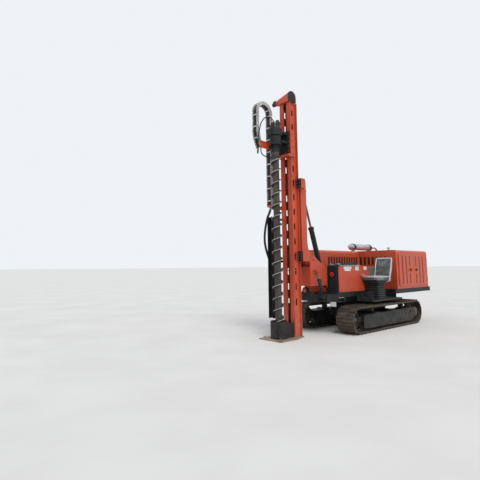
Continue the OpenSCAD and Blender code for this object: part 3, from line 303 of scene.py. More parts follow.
def track_steel():
    f = Finish("track_steel")
    mud = f.span(f.noise(7.0, 8.0, 0.7), 0.40, 0.62)
    base = f.mix(mud, (0.027, 0.021, 0.017), (0.098, 0.071, 0.050))
    base = f.wear(base, 0.010, 0.8, 12.0, 0.35, 0.6, (0.32, 0.25, 0.19))
    f.put(Base_Color=base, Roughness=f.span(mud, 0.0, 1.0, 0.6, 0.92), Metallic=0.15)
    return f.relief(f.noise(28.0, 8.0, 0.7), 0.6, 0.006, rounded=0.004).material


def auger_steel():
    f = Finish("auger_steel")
    streak = f.span(f.noise(5.0, 7.0, 0.65, stretch=(1.6, 1.6, 0.5)), 0.35, 0.68)
    base = f.mix(streak, (0.034, 0.029, 0.027), (0.090, 0.073, 0.063))
    # Brightness grows towards the flight's edge, by distance from the auger's axis
    flat = f.vector("MULTIPLY", f.vector("SUBTRACT", f.place, AUGER_AXIS)[0], (1, 1, 0))
    rim = f.span(f.vector("LENGTH", flat[0])["Value"], 0.112, 0.127)
    rim = f.math("MULTIPLY", rim, f.span(f.noise(9.0, 4.0), 0.30, 0.55, 0.45, 1.0))
    base = f.mix(rim, base, (0.46, 0.42, 0.38))
    f.put(Base_Color=base, Metallic=0.35, Roughness=f.span(streak, 0, 1, 0.48, 0.72))
    return f.relief(f.noise(30.0, 7.0, 0.65), 0.35, 0.003, rounded=0.002).material


def hose_rubber():
    f = Finish("hose_rubber")
    base = f.mix(f.span(f.noise(15.0, 4.0), 0.4, 0.7), (0.012, 0.012, 0.013), (0.035, 0.033, 0.032))
    f.put(Base_Color=base, Roughness=0.5)
    return f.relief(f.noise(150.0, 2.0), 0.1, 0.001).material


def seat_vinyl():
    f = Finish("seat_vinyl")
    grain = f.node("ShaderNodeTexVoronoi", {"Vector": f.place, "Scale": 420.0})
    base = f.mix(f.span(f.noise(8.0, 4.0), 0.35, 0.7), (0.022, 0.026, 0.026), (0.060, 0.065, 0.063))
    f.put(Base_Color=base)
    f.mottle(10.0, 4.0, 0.45, 0.65)
    return f.relief(grain.outputs["Distance"], 0.25, 0.001).material


def clear_film():
    """Thin crinkled plastic film that still covers the seat."""
    f = Finish("clear_film")
    f.put(Base_Color=(0.92, 0.95, 0.96), Roughness=0.12)
    crinkle = f.noise(16.0, 6.0, 0.6, distort=1.2)
    ridge = f.math("ABSOLUTE", f.math("SUBTRACT", crinkle, 0.5))
    cover = f.math("MULTIPLY", f.span(ridge, 0.05, 0.0), f.span(f.noise(5.0, 3.0), 0.42, 0.66))
    # Painted sky sheen: the film turns whiter where it faces up
    up = f.span(f.axis(2, of_normal=True), 0.5, 0.95, 0.0, 0.35)
    f.put(Alpha=f.math("ADD", f.math("MULTIPLY", cover, 0.45), f.math("ADD", up, 0.05)))
    return f.relief(crinkle, 0.7, 0.02).material


def plain(name, colour, rough=0.6, metal=0.0):
    """A small part's finish: one colour, a little mottled."""
    f = Finish(name)
    tone = f.span(f.noise(18.0, 4.0), 0.3, 0.7)
    f.put(Base_Color=f.mix(tone, tuple(c * 0.8 for c in colour), colour), Metallic=metal)
    f.mottle(25.0, 3.0, rough * 0.85, min(1.0, rough * 1.15))
    return f.relief(f.noise(70.0, 3.0), 0.1, 0.001, rounded=0.002).material


def axis_of(node):
    """Where a node's upright axis meets the ground."""
    low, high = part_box(node)
    return ((low.x + high.x) / 2, (low.y + high.y) / 2, 0)


AUGER_AXIS = axis_of("auger_stem")
FINISHES = {
    "orange_paint": orange_paint(),
    "frame_paint": dark_paint("frame_paint"),
    "track_steel": track_steel(),
    "roller_steel": bare_steel("roller_steel", (0.035, 0.03, 0.026), (0.10, 0.08, 0.065), 0.3,
                               (0.5, 0.8), worn=(0.28, 0.25, 0.22), dusty=0.6),
    "tank_paint": dark_paint("tank_paint", (0.075, 0.085, 0.070), 0.5, 1.6),
    # Near-black; on the panes behind the bodywork's slots and holes it is painted shade
    "screen_mesh": plain("screen_mesh", (0.022, 0.013, 0.012), 0.85),
    "engine_iron": plain("engine_iron", (0.06, 0.06, 0.065), 0.6, 0.3),
    "muffler_steel": bare_steel("muffler_steel", (0.34, 0.34, 0.35), (0.62, 0.62, 0.63), 0.8,
                                (0.28, 0.5), (0.3, 3, 3)),
    "black_plastic": plain("black_plastic", (0.03, 0.03, 0.03), 0.45),
    "black_rubber": plain("black_rubber", (0.022, 0.022, 0.023), 0.65),
    "seat_vinyl": seat_vinyl(),
    "white_sign": plain("white_sign", (0.74, 0.74, 0.71), 0.5),
    "rod_steel": bare_steel("rod_steel", (0.13, 0.085, 0.06), (0.30, 0.21, 0.16), 0.7, (0.25, 0.45),
                            (1, 1, 0.2)),
    "chain_steel": bare_steel("chain_steel", (0.014, 0.012, 0.010), (0.055, 0.045, 0.038), 0.5,
                              (0.4, 0.7), worn=(0.16, 0.14, 0.12)),
    "motor_iron": plain("motor_iron", (0.035, 0.035, 0.038), 0.5, 0.3),
    "worn_steel": bare_steel("worn_steel", (0.20, 0.14, 0.10), (0.42, 0.32, 0.24), 0.25,
                             (0.5, 0.8), dusty=0.9),
    "deck_steel": bare_steel("deck_steel", (0.30, 0.34, 0.36), (0.46, 0.50, 0.52), 0.3, (0.4, 0.6)),
    "chain_zinc": bare_steel("chain_zinc", (0.40, 0.39, 0.37), (0.62, 0.61, 0.58), 0.45, (0.35, 0.55)),
    "hose_rubber": hose_rubber(),
    "auger_steel": auger_steel(),
}


def dress_frame():
    """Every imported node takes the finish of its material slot."""
    for part in frame["record"]["subparts"]:
        mesh = NODES[part["node"]].data
        mesh.materials.clear()
        mesh.materials.append(FINISHES[part["material_slot"]])


# Shapes

CUSHION_EDGE = 0.045


def block(bm, low, high, bevel=0.0, segments=1, turn=Matrix()):
    """A box between opposite corners, with its edges broken by bevel, then turned and moved."""
    size = Vector(abs(b - a) for a, b in zip(low, high))
    middle = (Vector(high) + Vector(low)) / 2
    new = bmesh.ops.create_cube(bm, size=1.0)["verts"]
    for v in new:
        v.co = turn @ (Vector((v.co.x * size.x, v.co.y * size.y, v.co.z * size.z)) + middle)
    if bevel:
        edges = list({e for v in new for e in v.link_edges})
        bmesh.ops.bevel(bm, geom=edges, offset=bevel, segments=segments, affect="EDGES",
                        profile=0.5)


def turned(place, angle, axis="Z"):
    """Turns by an angle and then moves to a place."""
    return Matrix.Translation(place) @ Matrix.Rotation(angle, 4, axis)


def frame_of(direction):
    """Two unit vectors across a direction."""
    d = Vector(direction).normalized()
    side = d.cross(Vector((0, 0, 1)) if abs(d.z) < 0.9 else Vector((1, 0, 0))).normalized()
    return d, side, d.cross(side).normalized()


def spokes(centre, side, up, radius, count):
    """Points round a centre, in the plane of two unit vectors."""
    angles = [2 * math.pi * k / count for k in range(count)]
    return [centre + (side * math.cos(a) + up * math.sin(a)) * radius for a in angles]


def lathe(bm, start, direction, profile, sides=20, ring=False):
    """A solid of revolution: profile lists (distance along direction, radius). A ring's profile
    closes on itself and leaves the middle open."""
    d, side, up = frame_of(direction)
    start = Vector(start)
    rings = []
    for along, radius in profile:
        if radius <= 0:
            rings.append([bm.verts.new(start + d * along)])
            continue
        circle = spokes(start + d * along, side, up, radius, sides)
        rings.append([bm.verts.new(q) for q in circle])
    if ring:
        rings.append(rings[0])
    for a, b in zip(rings, rings[1:]):
        for k in range(sides):
            n = (k + 1) % sides
            if len(a) == 1:
                bm.faces.new((a[0], b[k], b[n]))
            elif len(b) == 1:
                bm.faces.new((a[k], b[0], a[n]))
            else:
                bm.faces.new((a[k], b[k], b[n], a[n]))
    if ring:
        return
    if len(rings[0]) > 1:
        bm.faces.new(rings[0])
    if len(rings[-1]) > 1:
        bm.faces.new(reversed(rings[-1]))


def bar(bm, start, end, radius, chamfer=0.0, sides=20):
    """A round bar between two points."""
    start, end = Vector(start), Vector(end)
    length = (end - start).length
    c = min(chamfer, length / 3)
    profile = [(0, radius), (length, radius)]
    if c:
        profile = [(0, radius - c), (c, radius), (length - c, radius), (length, radius - c)]
    lathe(bm, start, end - start, profile, sides)


def bolt(bm, place, direction, size=0.012):
    """A hex head on its washer, standing on a surface at place."""
    lathe(bm, place, direction, [(0, size * 1.15), (size * 0.18, size * 1.15)], 16)
    lathe(bm, Vector(place) + Vector(direction).normalized() * size * 0.18, direction,
          [(0, size * 0.9), (size * 0.5, size * 0.9), (size * 0.62, size * 0.72)], 6)


def screw(bm, place, direction, sides=12, tip=0.004):
    """A low domed screw head on a surface at place."""
    lathe(bm, place, direction, [(0, 0.009), (0.003, 0.0085), (0.005, tip)], sides)


def bolt_circle(count, radius, offset=0.5):
    """Places round a circle, in its own plane."""
    angles = [2 * math.pi * (k + offset) / count for k in range(count)]
    return [(radius * math.cos(a), radius * math.sin(a)) for a in angles]


def smooth_path(points, steps):
    """A smooth curve through given points."""
    p = [Vector(q) for q in points]
    out = []
    for i in range(len(p) - 1):
        a, b, c, d = p[max(i - 1, 0)], p[i], p[i + 1], p[min(i + 2, len(p) - 1)]
        for k in range(steps):
            t = k / steps
            out.append(0.5 * ((2 * b) + (c - a) * t + (2 * a - 5 * b + 4 * c - d) * t * t
                              + (3 * b - a - 3 * c + d) * t ** 3))
    out.append(p[-1])
    return out


def loft(bm, rings):
    """Joins rings of points, each with the same count, into one closed skin."""
    made = [[bm.verts.new(q) for q in ring] for ring in rings]
    for a, b in zip(made, made[1:]):
        for k in range(len(a)):
            n = (k + 1) % len(a)
            bm.faces.new((a[k], a[n], b[n], b[k]))
    bm.faces.new(reversed(made[0]))
    bm.faces.new(made[-1])


def tube(bm, path, radius, sides=12):
    """A round tube along a path, with closed ends."""
    path = [Vector(q) for q in path]
    across = None
    rings = []
    for i, q in enumerate(path):
        t = (path[min(i + 1, len(path) - 1)] - path[max(i - 1, 0)]).normalized()
        across = frame_of(t)[1] if across is None else (across - t * across.dot(t)).normalized()
        up = t.cross(across)
        r = radius(i / (len(path) - 1)) if callable(radius) else radius
        rings.append(spokes(q, across, up, r, sides))
    loft(bm, rings)


def piece(name, bm, material, body=None, sharp=40):
    """Makes the mesh a piece of the scene that rides on a body."""
    bmesh.ops.recalc_face_normals(bm, faces=bm.faces)
    mesh = bpy.data.meshes.new(name)
    bm.to_mesh(mesh)
    bm.free()
    mesh.polygons.foreach_set("use_smooth", [True] * len(mesh.polygons))
    mesh.set_sharp_from_angle(angle=math.radians(sharp))
    new = add_object(name, mesh)
    mesh.materials.append(FINISHES[material] if isinstance(material, str) else material)
    if body:
        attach(new, body)
    return new


def rounded_box(bm, size, shape, turn, steps):
    """A soft box round the origin with round edges. Shape moves its points before the turn."""
    half = Vector(size) / 2
    radius = CUSHION_EDGE
    made = {}

    def corner(key):
        if key not in made:
            p = Vector((2 * c / steps - 1) * h for c, h in zip(key, half))
            core = Vector(max(-h + radius, min(h - radius, c)) for c, h in zip(p, half))
            out = p - core
            p = core + out.normalized() * radius if out.length > 1e-9 else p
            made[key] = bm.verts.new(turn @ shape(p, half))
        return made[key]

    for axis in range(3):
        for level in (0, steps):
            for i in range(steps):
                for j in range(steps):
                    quad = []
                    for pair in ((i, j), (i + 1, j), (i + 1, j + 1), (i, j + 1)):
                        key = list(pair)
                        key.insert(axis, level)
                        quad.append(corner(tuple(key)))
                    bm.faces.new(quad)


def round_loop(half_x, half_y, radius):
    """Points round a rectangle with round corners, in its own plane."""
    out = []
    steps = 5
    for corner, (sx, sy) in enumerate(((1, 1), (-1, 1), (-1, -1), (1, -1))):
        for k in range(steps + 1):
            a = math.pi / 2 * (corner + k / steps)
            out.append((sx * (half_x - radius) + radius * math.cos(a),
                        sy * (half_y - radius) + radius * math.sin(a)))
    return out


# Tracks

SHOES = 48
GROUSER = 0.028
ROLLER_COUNT = 5


class Loop:
    """The line that a track's shoes follow, in the XZ plane, from the frame's own track."""

    def __init__(self, node):
        low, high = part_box(node)
        self.outer = (high.z - low.z) / 2
        self.radius = self.outer - GROUSER
        self.front = high.x - self.outer
        self.rear = low.x + self.outer
        self.middle = (low.y + high.y) / 2
        self.half = (high.y - low.y) / 2
        self.run = self.front - self.rear
        self.bend = math.pi * self.radius
        self.length = 2 * (self.run + self.bend)

    def place(self, s):
        """Turns local (along, across, out) into the row frame at distance s along the loop."""
        s %= self.length
        if s < self.run:
            x, a = self.front - s, 90.0
        elif s < self.run + self.bend:
            x, a = self.rear, 90.0 + 180.0 * (s - self.run) / self.bend
        elif s < 2 * self.run + self.bend:
            x, a = self.rear + s - self.run - self.bend, 270.0
        else:
            x, a = self.front, 270.0 + 180.0 * (s - 2 * self.run - self.bend) / self.bend
        c, d = math.cos(math.radians(a)), math.sin(math.radians(a))
        return Matrix(((-d, 0, c, x), (0, 1, 0, self.middle), (c, 0, d, self.outer),
                       (0, 0, 0, 1)))


def add_tracks():
    """The lip where each shoe laps the next, and the four bolts of each shoe."""
    for side in ("left", "right"):
        loop = Loop("track_" + side)
        lips = bmesh.new()
        bolts = bmesh.new()
        for i in range(SHOES):
            seam = loop.place(i * loop.length / SHOES)
            block(lips, (-0.011, -loop.half + 0.006, loop.radius - 0.018),
                  (0.003, loop.half - 0.006, loop.radius + 0.016), 0.003, turn=seam)
            shoe = loop.place((i + 0.5) * loop.length / SHOES)
            for along in (-0.036, 0.036):
                for across in (-0.055, 0.055):
                    bolt(bolts, shoe @ Vector((along, across, loop.radius)),
                         shoe.to_3x3() @ Vector((0, 0, 1)), 0.011)
        piece(f"track_{side}_lips", lips, "track_steel", "chassis")
        piece(f"track_{side}_bolts", bolts, "track_steel", "chassis", sharp=30)


def add_frame_bolts():
    """Bolts of the roller shafts on the outer skirts, and of the final drives."""
    for side, sign in SIDES:
        loop = Loop("track_" + side)
        low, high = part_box("track_frame_" + side)
        face = high.y if sign > 0 else low.y
        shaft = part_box("running_gear_" + side)[0].z + 0.075
        out = (0, sign, 0)
        bm = bmesh.new()
        first, last = loop.front - 0.3, loop.rear + 0.3
        for i in range(ROLLER_COUNT):
            x = first + (last - first) * i / (ROLLER_COUNT - 1)
            for step in (-0.045, 0.045):
                bolt(bm, (x + step, face, shaft), out, 0.013)
        for x, z in bolt_circle(9, 0.066, 0):
            bolt(bm, (loop.rear + x, face, loop.outer + z), out, 0.009)
        piece(f"frame_{side}_bolts", bm, "frame_paint", "chassis", sharp=30)


# Chassis and driver's place

TREAD_PITCH = 0.045
SEAT_LEAN = math.radians(16)
# Where the backrest starts, along X and up
BACK_FOOT = (-2.7615, 1.255)
BACK_LENGTH = 0.63
BACK_THICK = 0.11
# Where the film's loose corner starts
FLAP_CORNER = (-2.212, 0.575, 1.320)
CONSOLE_SIDE = 0.490
# Blank labels on the console's side: front, rear, bottom and top
LABELS = ((-1.38, -1.72, 1.530, 1.594), (-1.42, -1.68, 1.486, 1.530), (-1.90, -2.06, 1.496, 1.594),
          (-2.29, -2.43, 1.505, 1.594))
STOP_BUTTON = (-1.1285, 0.327, 1.405)
# The console's front leans back a little
FRONT_NORMAL = (1, 0, 0.02)
LEVER_PLACES = [-1.45 - 0.084 * i for i in range(9)]
DECK_PADS = (-1.22, -1.31)
DECK_RISE = 0.058


def add_tread():
    """Raised lozenges on the driver's platform."""
    low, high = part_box("driver_platform")
    deck_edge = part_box("sign_plate")[0].y + 0.045
    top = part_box("seat_pedestal")[0].z
    bm = bmesh.new()
    x, i = low.x + 0.05, 0
    while x < high.x - 0.03:
        y, k = deck_edge, 0
        while y < high.y - 0.02:
            turn = turned((x, y, top), math.radians(45 if (i + k) % 2 else -45))
            block(bm, (-0.015, -0.004, -0.001), (0.015, 0.004, 0.0022), 0.0015, turn=turn)
            y, k = y + TREAD_PITCH, k + 1
        x, i = x + TREAD_PITCH, i + 1
    piece("platform_tread", bm, "frame_paint", "chassis")


def add_console():
    """The sheet under the levers, the stop button, blank labels and screws."""
    low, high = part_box("console")
    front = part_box("console_front")[1].x
    top = high.z
    add_lever_deck(low, high)
    button = at(*STOP_BUTTON)
    collar = bmesh.new()
    lathe(collar, button, FRONT_NORMAL, [(0, 0.046), (0.012, 0.046), (0.016, 0.040), (0.024, 0.030)], 36)
    lathe(collar, button, FRONT_NORMAL, [(0.030, 0.022), (0.040, 0.022)], 28)
    piece("stop_collar", collar, "black_plastic", "chassis")
    knob = bmesh.new()
    lathe(knob, button, FRONT_NORMAL,
          [(0.020, 0.036), (0.024, 0.052), (0.031, 0.056), (0.038, 0.052), (0.041, 0.040),
           (0.040, 0.028), (0.036, 0.023)], 40)
    piece("stop_button", knob, plain("red_plastic", (0.62, 0.03, 0.04), 0.35), "chassis")
    labels = bmesh.new()
    for x_front, x_rear, z_low, z_high in LABELS:
        block(labels, at(x_rear, CONSOLE_SIDE + 0.0001, z_low), at(x_front, CONSOLE_SIDE + 0.0012, z_high))
    piece("console_labels", labels, "white_sign", "chassis")
    screws = bmesh.new()
    for x in (low.x + 0.05, low.x + 0.5, high.x - 0.5, high.x - 0.06):
        for z in (low.z + 0.05, top - 0.045):
            screw(screws, (x, high.y, z), (0, 1, 0), 14, 0.005)
    for y in (low.y + 0.02, high.y - 0.02):
        for z, inset in ((low.z + 0.06, 0.002), (1.3, 0.011), (top - 0.02, 0.011)):
            bolt(screws, (front - inset, y, z), FRONT_NORMAL, 0.008)
    piece("console_screws", screws, "roller_steel", "chassis", sharp=30)


def add_lever_deck(low, high):
    """Light sheet that slopes up over the console's inner half, with the levers' slots in it."""
    base = high.z + 0.010
    under = high.z + 0.0085
    outer, inner = low.y + 0.285, low.y + 0.062
    front, rear = high.x - 0.004, low.x + 0.350
    width = math.hypot(DECK_RISE, outer - inner)
    slope = math.atan2(DECK_RISE, outer - inner)
    # Local x runs forward, y up the slope towards the inner side and z out of the sheet
    turn = turned((0, outer, base), -slope, "X") @ Matrix.Scale(-1, 4, (0, 1, 0))
    sheet = bmesh.new()
    block(sheet, (rear, 0, 0), (front, width, 0.004), 0.0015, turn=turn)
    block(sheet, (rear, inner - 0.002, under), (front, inner + 0.002, base + DECK_RISE))
    side = [(outer, under), (inner, under), (inner, base + DECK_RISE), (outer, base)]
    for x in (rear, front):
        loft(sheet, [[(x + step, y, z) for y, z in side] for step in (-0.002, 0.002)])
    piece("lever_deck", sheet, FINISHES["deck_steel"], "chassis")
    slots = bmesh.new()
    grips = bmesh.new()
    gaiter = [(0, 0.028), (0.006, 0.029), (0.012, 0.023), (0.018, 0.024), (0.026, 0.015), (0.034, 0.010)]
    for i, place in enumerate(LEVER_PLACES):
        x = place + MAST_X
        block(slots, (x - 0.011, 0.030, 0.004), (x + 0.011, width - 0.030, 0.0055), turn=turn)
        lathe(slots, turn @ Vector((x, 0.105, 0.004)), (0, -0.3, 1), gaiter, 18)
        handle = turn @ Vector((x + 0.040, 0.062, 0.004))
        bar(grips, handle, handle + Vector((0, 0.010 + 0.006 * (i % 3), 0.055)), 0.007, 0.0015, 10)
    for place in DECK_PADS:
        x = place + MAST_X
        block(slots, (x - 0.030, 0.050, 0.004), (x + 0.030, 0.200, 0.012), 0.003, turn=turn)
    piece("lever_slots", slots, "black_rubber", "chassis")
    piece("lever_grips", grips, "black_plastic", "chassis")


def cushion_shape(crown, seams, depth, wide):
    """Moves a soft box's points: a crowned top with sewn grooves across it."""
    def shape(p, half):
        u, w = p.x / half.x, p.y / half.y
        if p.z > 0:
            lift = crown * (1 - u * u) * (1 - w * w)
            groove = sum(math.exp(-((u - s) / wide) ** 2) for s in seams)
            edge = max(0.0, 1 - abs(w) ** 6)
            p.z += lift - depth * groove * edge * (p.z / half.z)
        p.z += 0.0015 * noise.noise(p * 14)
        return p
    return shape


def film_skin(name, size, crown, turn, keep_above):
    """Loose clear film over a cushion: the upper part of a slightly larger crinkled box."""
    bm = bmesh.new()

    def shape(p, half):
        u, w = p.x / half.x, p.y / half.y
        ripple = noise.fractal(p * 9, 0.6, 2.1, 5)
        if p.z > 0:
            p.z += crown * (1 - u * u) * (1 - w * w)
        return p * (1 + 0.012 * ripple) + Vector((0, 0, 0.004 * ripple))

    rounded_box(bm, size, shape, Matrix(), 34)
    lower = [f for f in bm.faces if f.calc_center_median().z < keep_above]
    bmesh.ops.delete(bm, geom=lower, context="FACES")
    bmesh.ops.transform(bm, matrix=turn, verts=bm.verts)
    area = sum(f.calc_area() for f in bm.faces)
    new = piece(name, bm, CLEAR_FILM, "chassis", sharp=180)


def add_seat():
    """Padded cushion and backrest under clear film, with a bellows under the seat pan."""
    low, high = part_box("seat_cushion")
    size = high - low
    place = Matrix.Translation((low + high) / 2)
    rest_size = Vector((BACK_LENGTH, size.y, BACK_THICK))
    # The backrest's face looks forward, so its own z is turned to +X and its x runs upward
    rest_turn = (turned(at(BACK_FOOT[0], (low.y + high.y) / 2, BACK_FOOT[1]), -SEAT_LEAN, "Y")
                 @ turned((-BACK_THICK / 2, 0, 0.27), math.pi / 2, "Y"))
    pad = bmesh.new()
    rounded_box(pad, size, cushion_shape(0.012, (-0.45, 0.15), 0.012, 0.035), place, 36)
    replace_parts(piece("seat_pad", pad, "seat_vinyl", "chassis", sharp=180),
                "seat_cushion")
    rest = bmesh.new()
    rounded_box(rest, rest_size, cushion_shape(0.010, (-0.35, 0.3), 0.012, 0.03), rest_turn, 36)
    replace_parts(piece("seat_rest", rest, "seat_vinyl", "chassis", sharp=180),
                "seat_back")
    film_skin("film_cushion", size + Vector((0.010, 0.012, 0.010)), 0.014, place, -0.02)
    film_skin("film_rest", rest_size + Vector((0.012, 0.012, 0.012)), 0.012, rest_turn, -0.03)
    # The film's gathered edges, coloured pale as a painted glint along them
    rim = bmesh.new()
    for matrix, box, lift, r in ((place, size, 0.048, 0.008), (rest_turn, rest_size, 0.042, 0.013)):
        loop = [Vector((x, y, lift)) for x, y in round_loop(box.x / 2, box.y / 2, CUSHION_EDGE)]
        loop = smooth_path(loop + loop[:1], 4)
        loop = [matrix @ (q + 0.006 * noise.noise_vector(q * 17)) for q in loop]
        tube(rim, loop, lambda t, r=r: r * (1 + 0.35 * noise.noise(Vector((t * 23, r, 0)))), 8)
    piece("glint_rims", rim, plain("glint_rim", (0.74, 0.77, 0.79), 0.3), "chassis", 180)
    add_flap(at(*FLAP_CORNER))
    add_bellows()


def add_flap(corner):
    """Loose end of the film that stands off the front of the cushion."""
    steps, length, width, rise = 14, 0.135, 0.130, 0.072
    bm = bmesh.new()
    rows = []
    for i in range(steps + 1):
        t = i / steps
        x, z = length * t, rise * math.sin(1.8 * t)
        row = []
        for k in range(steps + 1):
            w = (k / steps - 0.5) * width * (1 - 0.20 * t)
            q = corner + Vector((x, w, z))
            row.append(bm.verts.new(q + 0.010 * t * noise.noise_vector(q * 19)))
        rows.append(row)
    for a, b in zip(rows, rows[1:]):
        for k in range(steps):
            bm.faces.new((a[k], b[k], b[k + 1], a[k + 1]))
    area = sum(f.calc_area() for f in bm.faces)
    flap = piece("film_flap", bm, plain("film_fold", (0.90, 0.90, 0.88), 0.3), "chassis",
                 180)


def add_bellows():
    """Folded rubber sleeve under the seat, and the seat's pan over it."""
    low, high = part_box("seat_pedestal")
    middle = (low + high) / 2
    pan = 0.056
    folds = 7
    height = (high.z - low.z - pan) / folds
    rings = []
    for i in range(folds):
        for share, inset in ((0.0, 0.030), (0.30, 0.006), (0.5, 0.0), (0.70, 0.006), (1.0, 0.030)):
            loop = round_loop(0.185 - inset, 0.190 - inset, 0.05)
            z = low.z + (i + share) * height
            if share < 1.0 or i == folds - 1:
                rings.append([(middle.x + x, middle.y + y, z) for x, y in loop])
    bm = bmesh.new()
    loft(bm, rings)
    bellows = piece("seat_bellows", bm, "black_rubber", "chassis", sharp=60)
    plates = bmesh.new()
    block(plates, (low.x, low.y, high.z - pan), (high.x, high.y, high.z - 0.001), 0.012, 2)
    for y in (low.y - 0.004, high.y - 0.008):
        block(plates, (low.x + 0.03, y, high.z - pan + 0.012),
              (high.x - 0.03, y + 0.012, high.z - 0.016), 0.002)
    block(plates, (low.x + 0.01, low.y + 0.005, low.z + 0.0003),
          (high.x - 0.01, high.y - 0.005, low.z + 0.010), 0.002)
    piece("seat_pan", plates, "frame_paint", "chassis")
    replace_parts(bellows, "seat_pedestal")


# Bodywork

HINGE_INSET = 0.012
# Columns of holes in a leaf, by their distance from its hinge
LEAF_COLUMNS = {"front": (0.197, 0.415, 0.628), "rear": (0.284, 0.490, 0.715)}
LEAF_ROWS = 16
ROW_STEP = 0.050
# Half the width and the whole height of the screen behind one hole
PANE_HALF = 0.037
PANE_HEIGHT = 0.031
MUFFLER_AXIS = (-0.520, 2.180)
MUFFLER_BANDS = (-3.38, -4.24)
MUFFLER_END = -4.36
# Bottom and top of the upright slots in the hood and the cover
SLOT_SPAN = (1.64, 1.87)
LOUVRE_HEIGHT = 0.035


def leaves():
    """Each door leaf's name, its way out, its columns of holes along X, and its inner face."""
    for side, out in SIDES:
        for end, columns in LEAF_COLUMNS.items():
            name = f"door_{side}_{end}"
            low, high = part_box(name)
            hinge = high.x - HINGE_INSET if end == "front" else low.x + HINGE_INSET
            away = -1 if end == "front" else 1
            inner = low.y if out > 0 else high.y
            yield name, out, [hinge + away * c for c in columns], inner


def add_latches():
    """Dark round latch with its handle, by the outermost column of each door leaf."""
    for name, out, columns, inner in leaves():
        low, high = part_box(name)
        away = math.copysign(0.015, columns[2] - columns[0])
        knob = Vector((columns[2] + away, inner + out * 0.040, (low.z + high.z) / 2))
        bm = bmesh.new()
        lathe(bm, knob, (0, out, 0), [(0, 0.044), (0.004, 0.044), (0.006, 0.0385), (0.0185, 0.0385),
                                      (0.0205, 0.034), (0.0205, 0.016), (0.017, 0.015)], 32)
        block(bm, knob - Vector((0.028, 0, 0.006)), knob + Vector((0.028, out * 0.030, 0.006)), 0.003)
        piece(f"{name}_latch", bm, "black_plastic", name)


def add_shade_panes():
    """Dark panes set into the slots and holes of the bodywork, as painted shade of the space behind them.
    """
    for name, out, columns, inner in leaves():
        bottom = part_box(name)[0].z + 0.060
        bm = bmesh.new()
        for c, x in enumerate(columns):
            for row in range(LEAF_ROWS):
                # The latch takes the place of the middle holes
                if c == 2 and abs(row - (LEAF_ROWS - 1) / 2) < 1.6:
                    continue
                z = bottom + row * ROW_STEP
                block(bm, (x - PANE_HALF, inner + out * 0.015, z),
                      (x + PANE_HALF, inner + out * 0.017, z + PANE_HEIGHT))
        piece(f"{name}_shade_panes", bm, "screen_mesh", name)
    bm = bmesh.new()
    slot_low, slot_high = SLOT_SPAN
    low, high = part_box("side_hood")
    for i in range(12):
        x = high.x - 0.500 - i * 0.125
        block(bm, (x - 0.040, high.y - 0.007, slot_low), (x + 0.040, high.y - 0.005, slot_high))
    for x in (high.x - 0.530, high.x - 1.430):
        for i in range(8):
            z = 1.260 + i * 0.070
            block(bm, (x - 0.350, low.y + 0.005, z), (x + 0.350, low.y + 0.007, z + LOUVRE_HEIGHT))
    low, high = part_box("engine_cover")
    for i in range(7):
        y = -0.370 + i * 0.130
        block(bm, (high.x - 0.007, y, slot_low), (high.x - 0.005, y + 0.075, slot_high))
    for i in range(10):
        z = 1.150 + i * 0.075
        block(bm, (low.x + 0.005, -0.520, z), (low.x + 0.007, 0.520, z + LOUVRE_HEIGHT))
    piece("body_shade_panes", bm, "screen_mesh", "chassis")


def add_bodywork():
    """Screws along the bodywork's edges, bands and cap of the muffler, and the sign's screws."""
    screws = bmesh.new()
    low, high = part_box("side_hood")
    for i in range(12):
        for z in (1.03, 1.955):
            screw(screws, (high.x - 0.08 - i * 0.165, high.y, z), (0, 1, 0))
    for z in (1.1, 1.35, 1.6, 1.85):
        for y in (low.y + 0.05, high.y - 0.05):
            screw(screws, (high.x, y, z), (1, 0, 0))
    low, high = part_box("engine_cover")
    for out, face in ((1, high.y), (-1, low.y)):
        for x in (high.x - 0.05, low.x + 0.035):
            for z in (1.02, 1.25, 1.5, 1.75, 1.94):
                screw(screws, (x, face, z), (0, out, 0))
    piece("body_screws", screws, "roller_steel", "chassis", sharp=30)

    bands = bmesh.new()
    y, z = MUFFLER_AXIS
    for place in MUFFLER_BANDS:
        x = place + MAST_X
        lathe(bands, (x + 0.004, y, z), (-1, 0, 0),
              [(0, 0.090), (0, 0.1015), (0.042, 0.1015), (0.042, 0.090)], 48, ring=True)
        block(bands, (x - 0.030, y + 0.098, z - 0.02), (x - 0.004, y + 0.128, z + 0.02), 0.003)
        bolt(bands, (x - 0.017, y + 0.113, z + 0.02), (0, 0, 1), 0.009)
    lathe(bands, (MUFFLER_END + MAST_X + 0.003, y, z), (-1, 0, 0),
          [(0, 0.078), (0.012, 0.080), (0.030, 0.050), (0.055, 0.036), (0.080, 0.0335)], 40)
    piece("muffler_bands", bands, "frame_paint", "chassis")

    low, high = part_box("sign_plate")
    screws = bmesh.new()
    for y in (low.y + 0.014, high.y - 0.014):
        for z in (low.z + 0.014, high.z - 0.014):
            bolt(screws, (high.x, y, z), (1, 0, 0), 0.005)
    piece("sign_screws", screws, "roller_steel", "chassis", sharp=30)


# Mast, carrier and head

# Heights of the jaws' bolts, lower jaws and upper jaws
JAW_BOLTS = (1.78, 1.84, 1.90, 3.51, 3.585, 3.66)
# Pins and cylinder ends, measured from the mast's centre line
TILT_PIN = (-0.750, 1.250)
TILT_FOOT = (-1.260, 0, 1.030)
TILT_EYE = (-0.460, 0, 3.450)
MOTOR_AXIS_Z = 5.71
# Flanges of the rotary head: height, radius of the bolt circle and bolts
HEAD_FLANGES = ((4.464, 0.1365, 16), (4.691, 0.158, 18))
RIB_COUNT = 12
SEAM_TURN = math.radians(38)


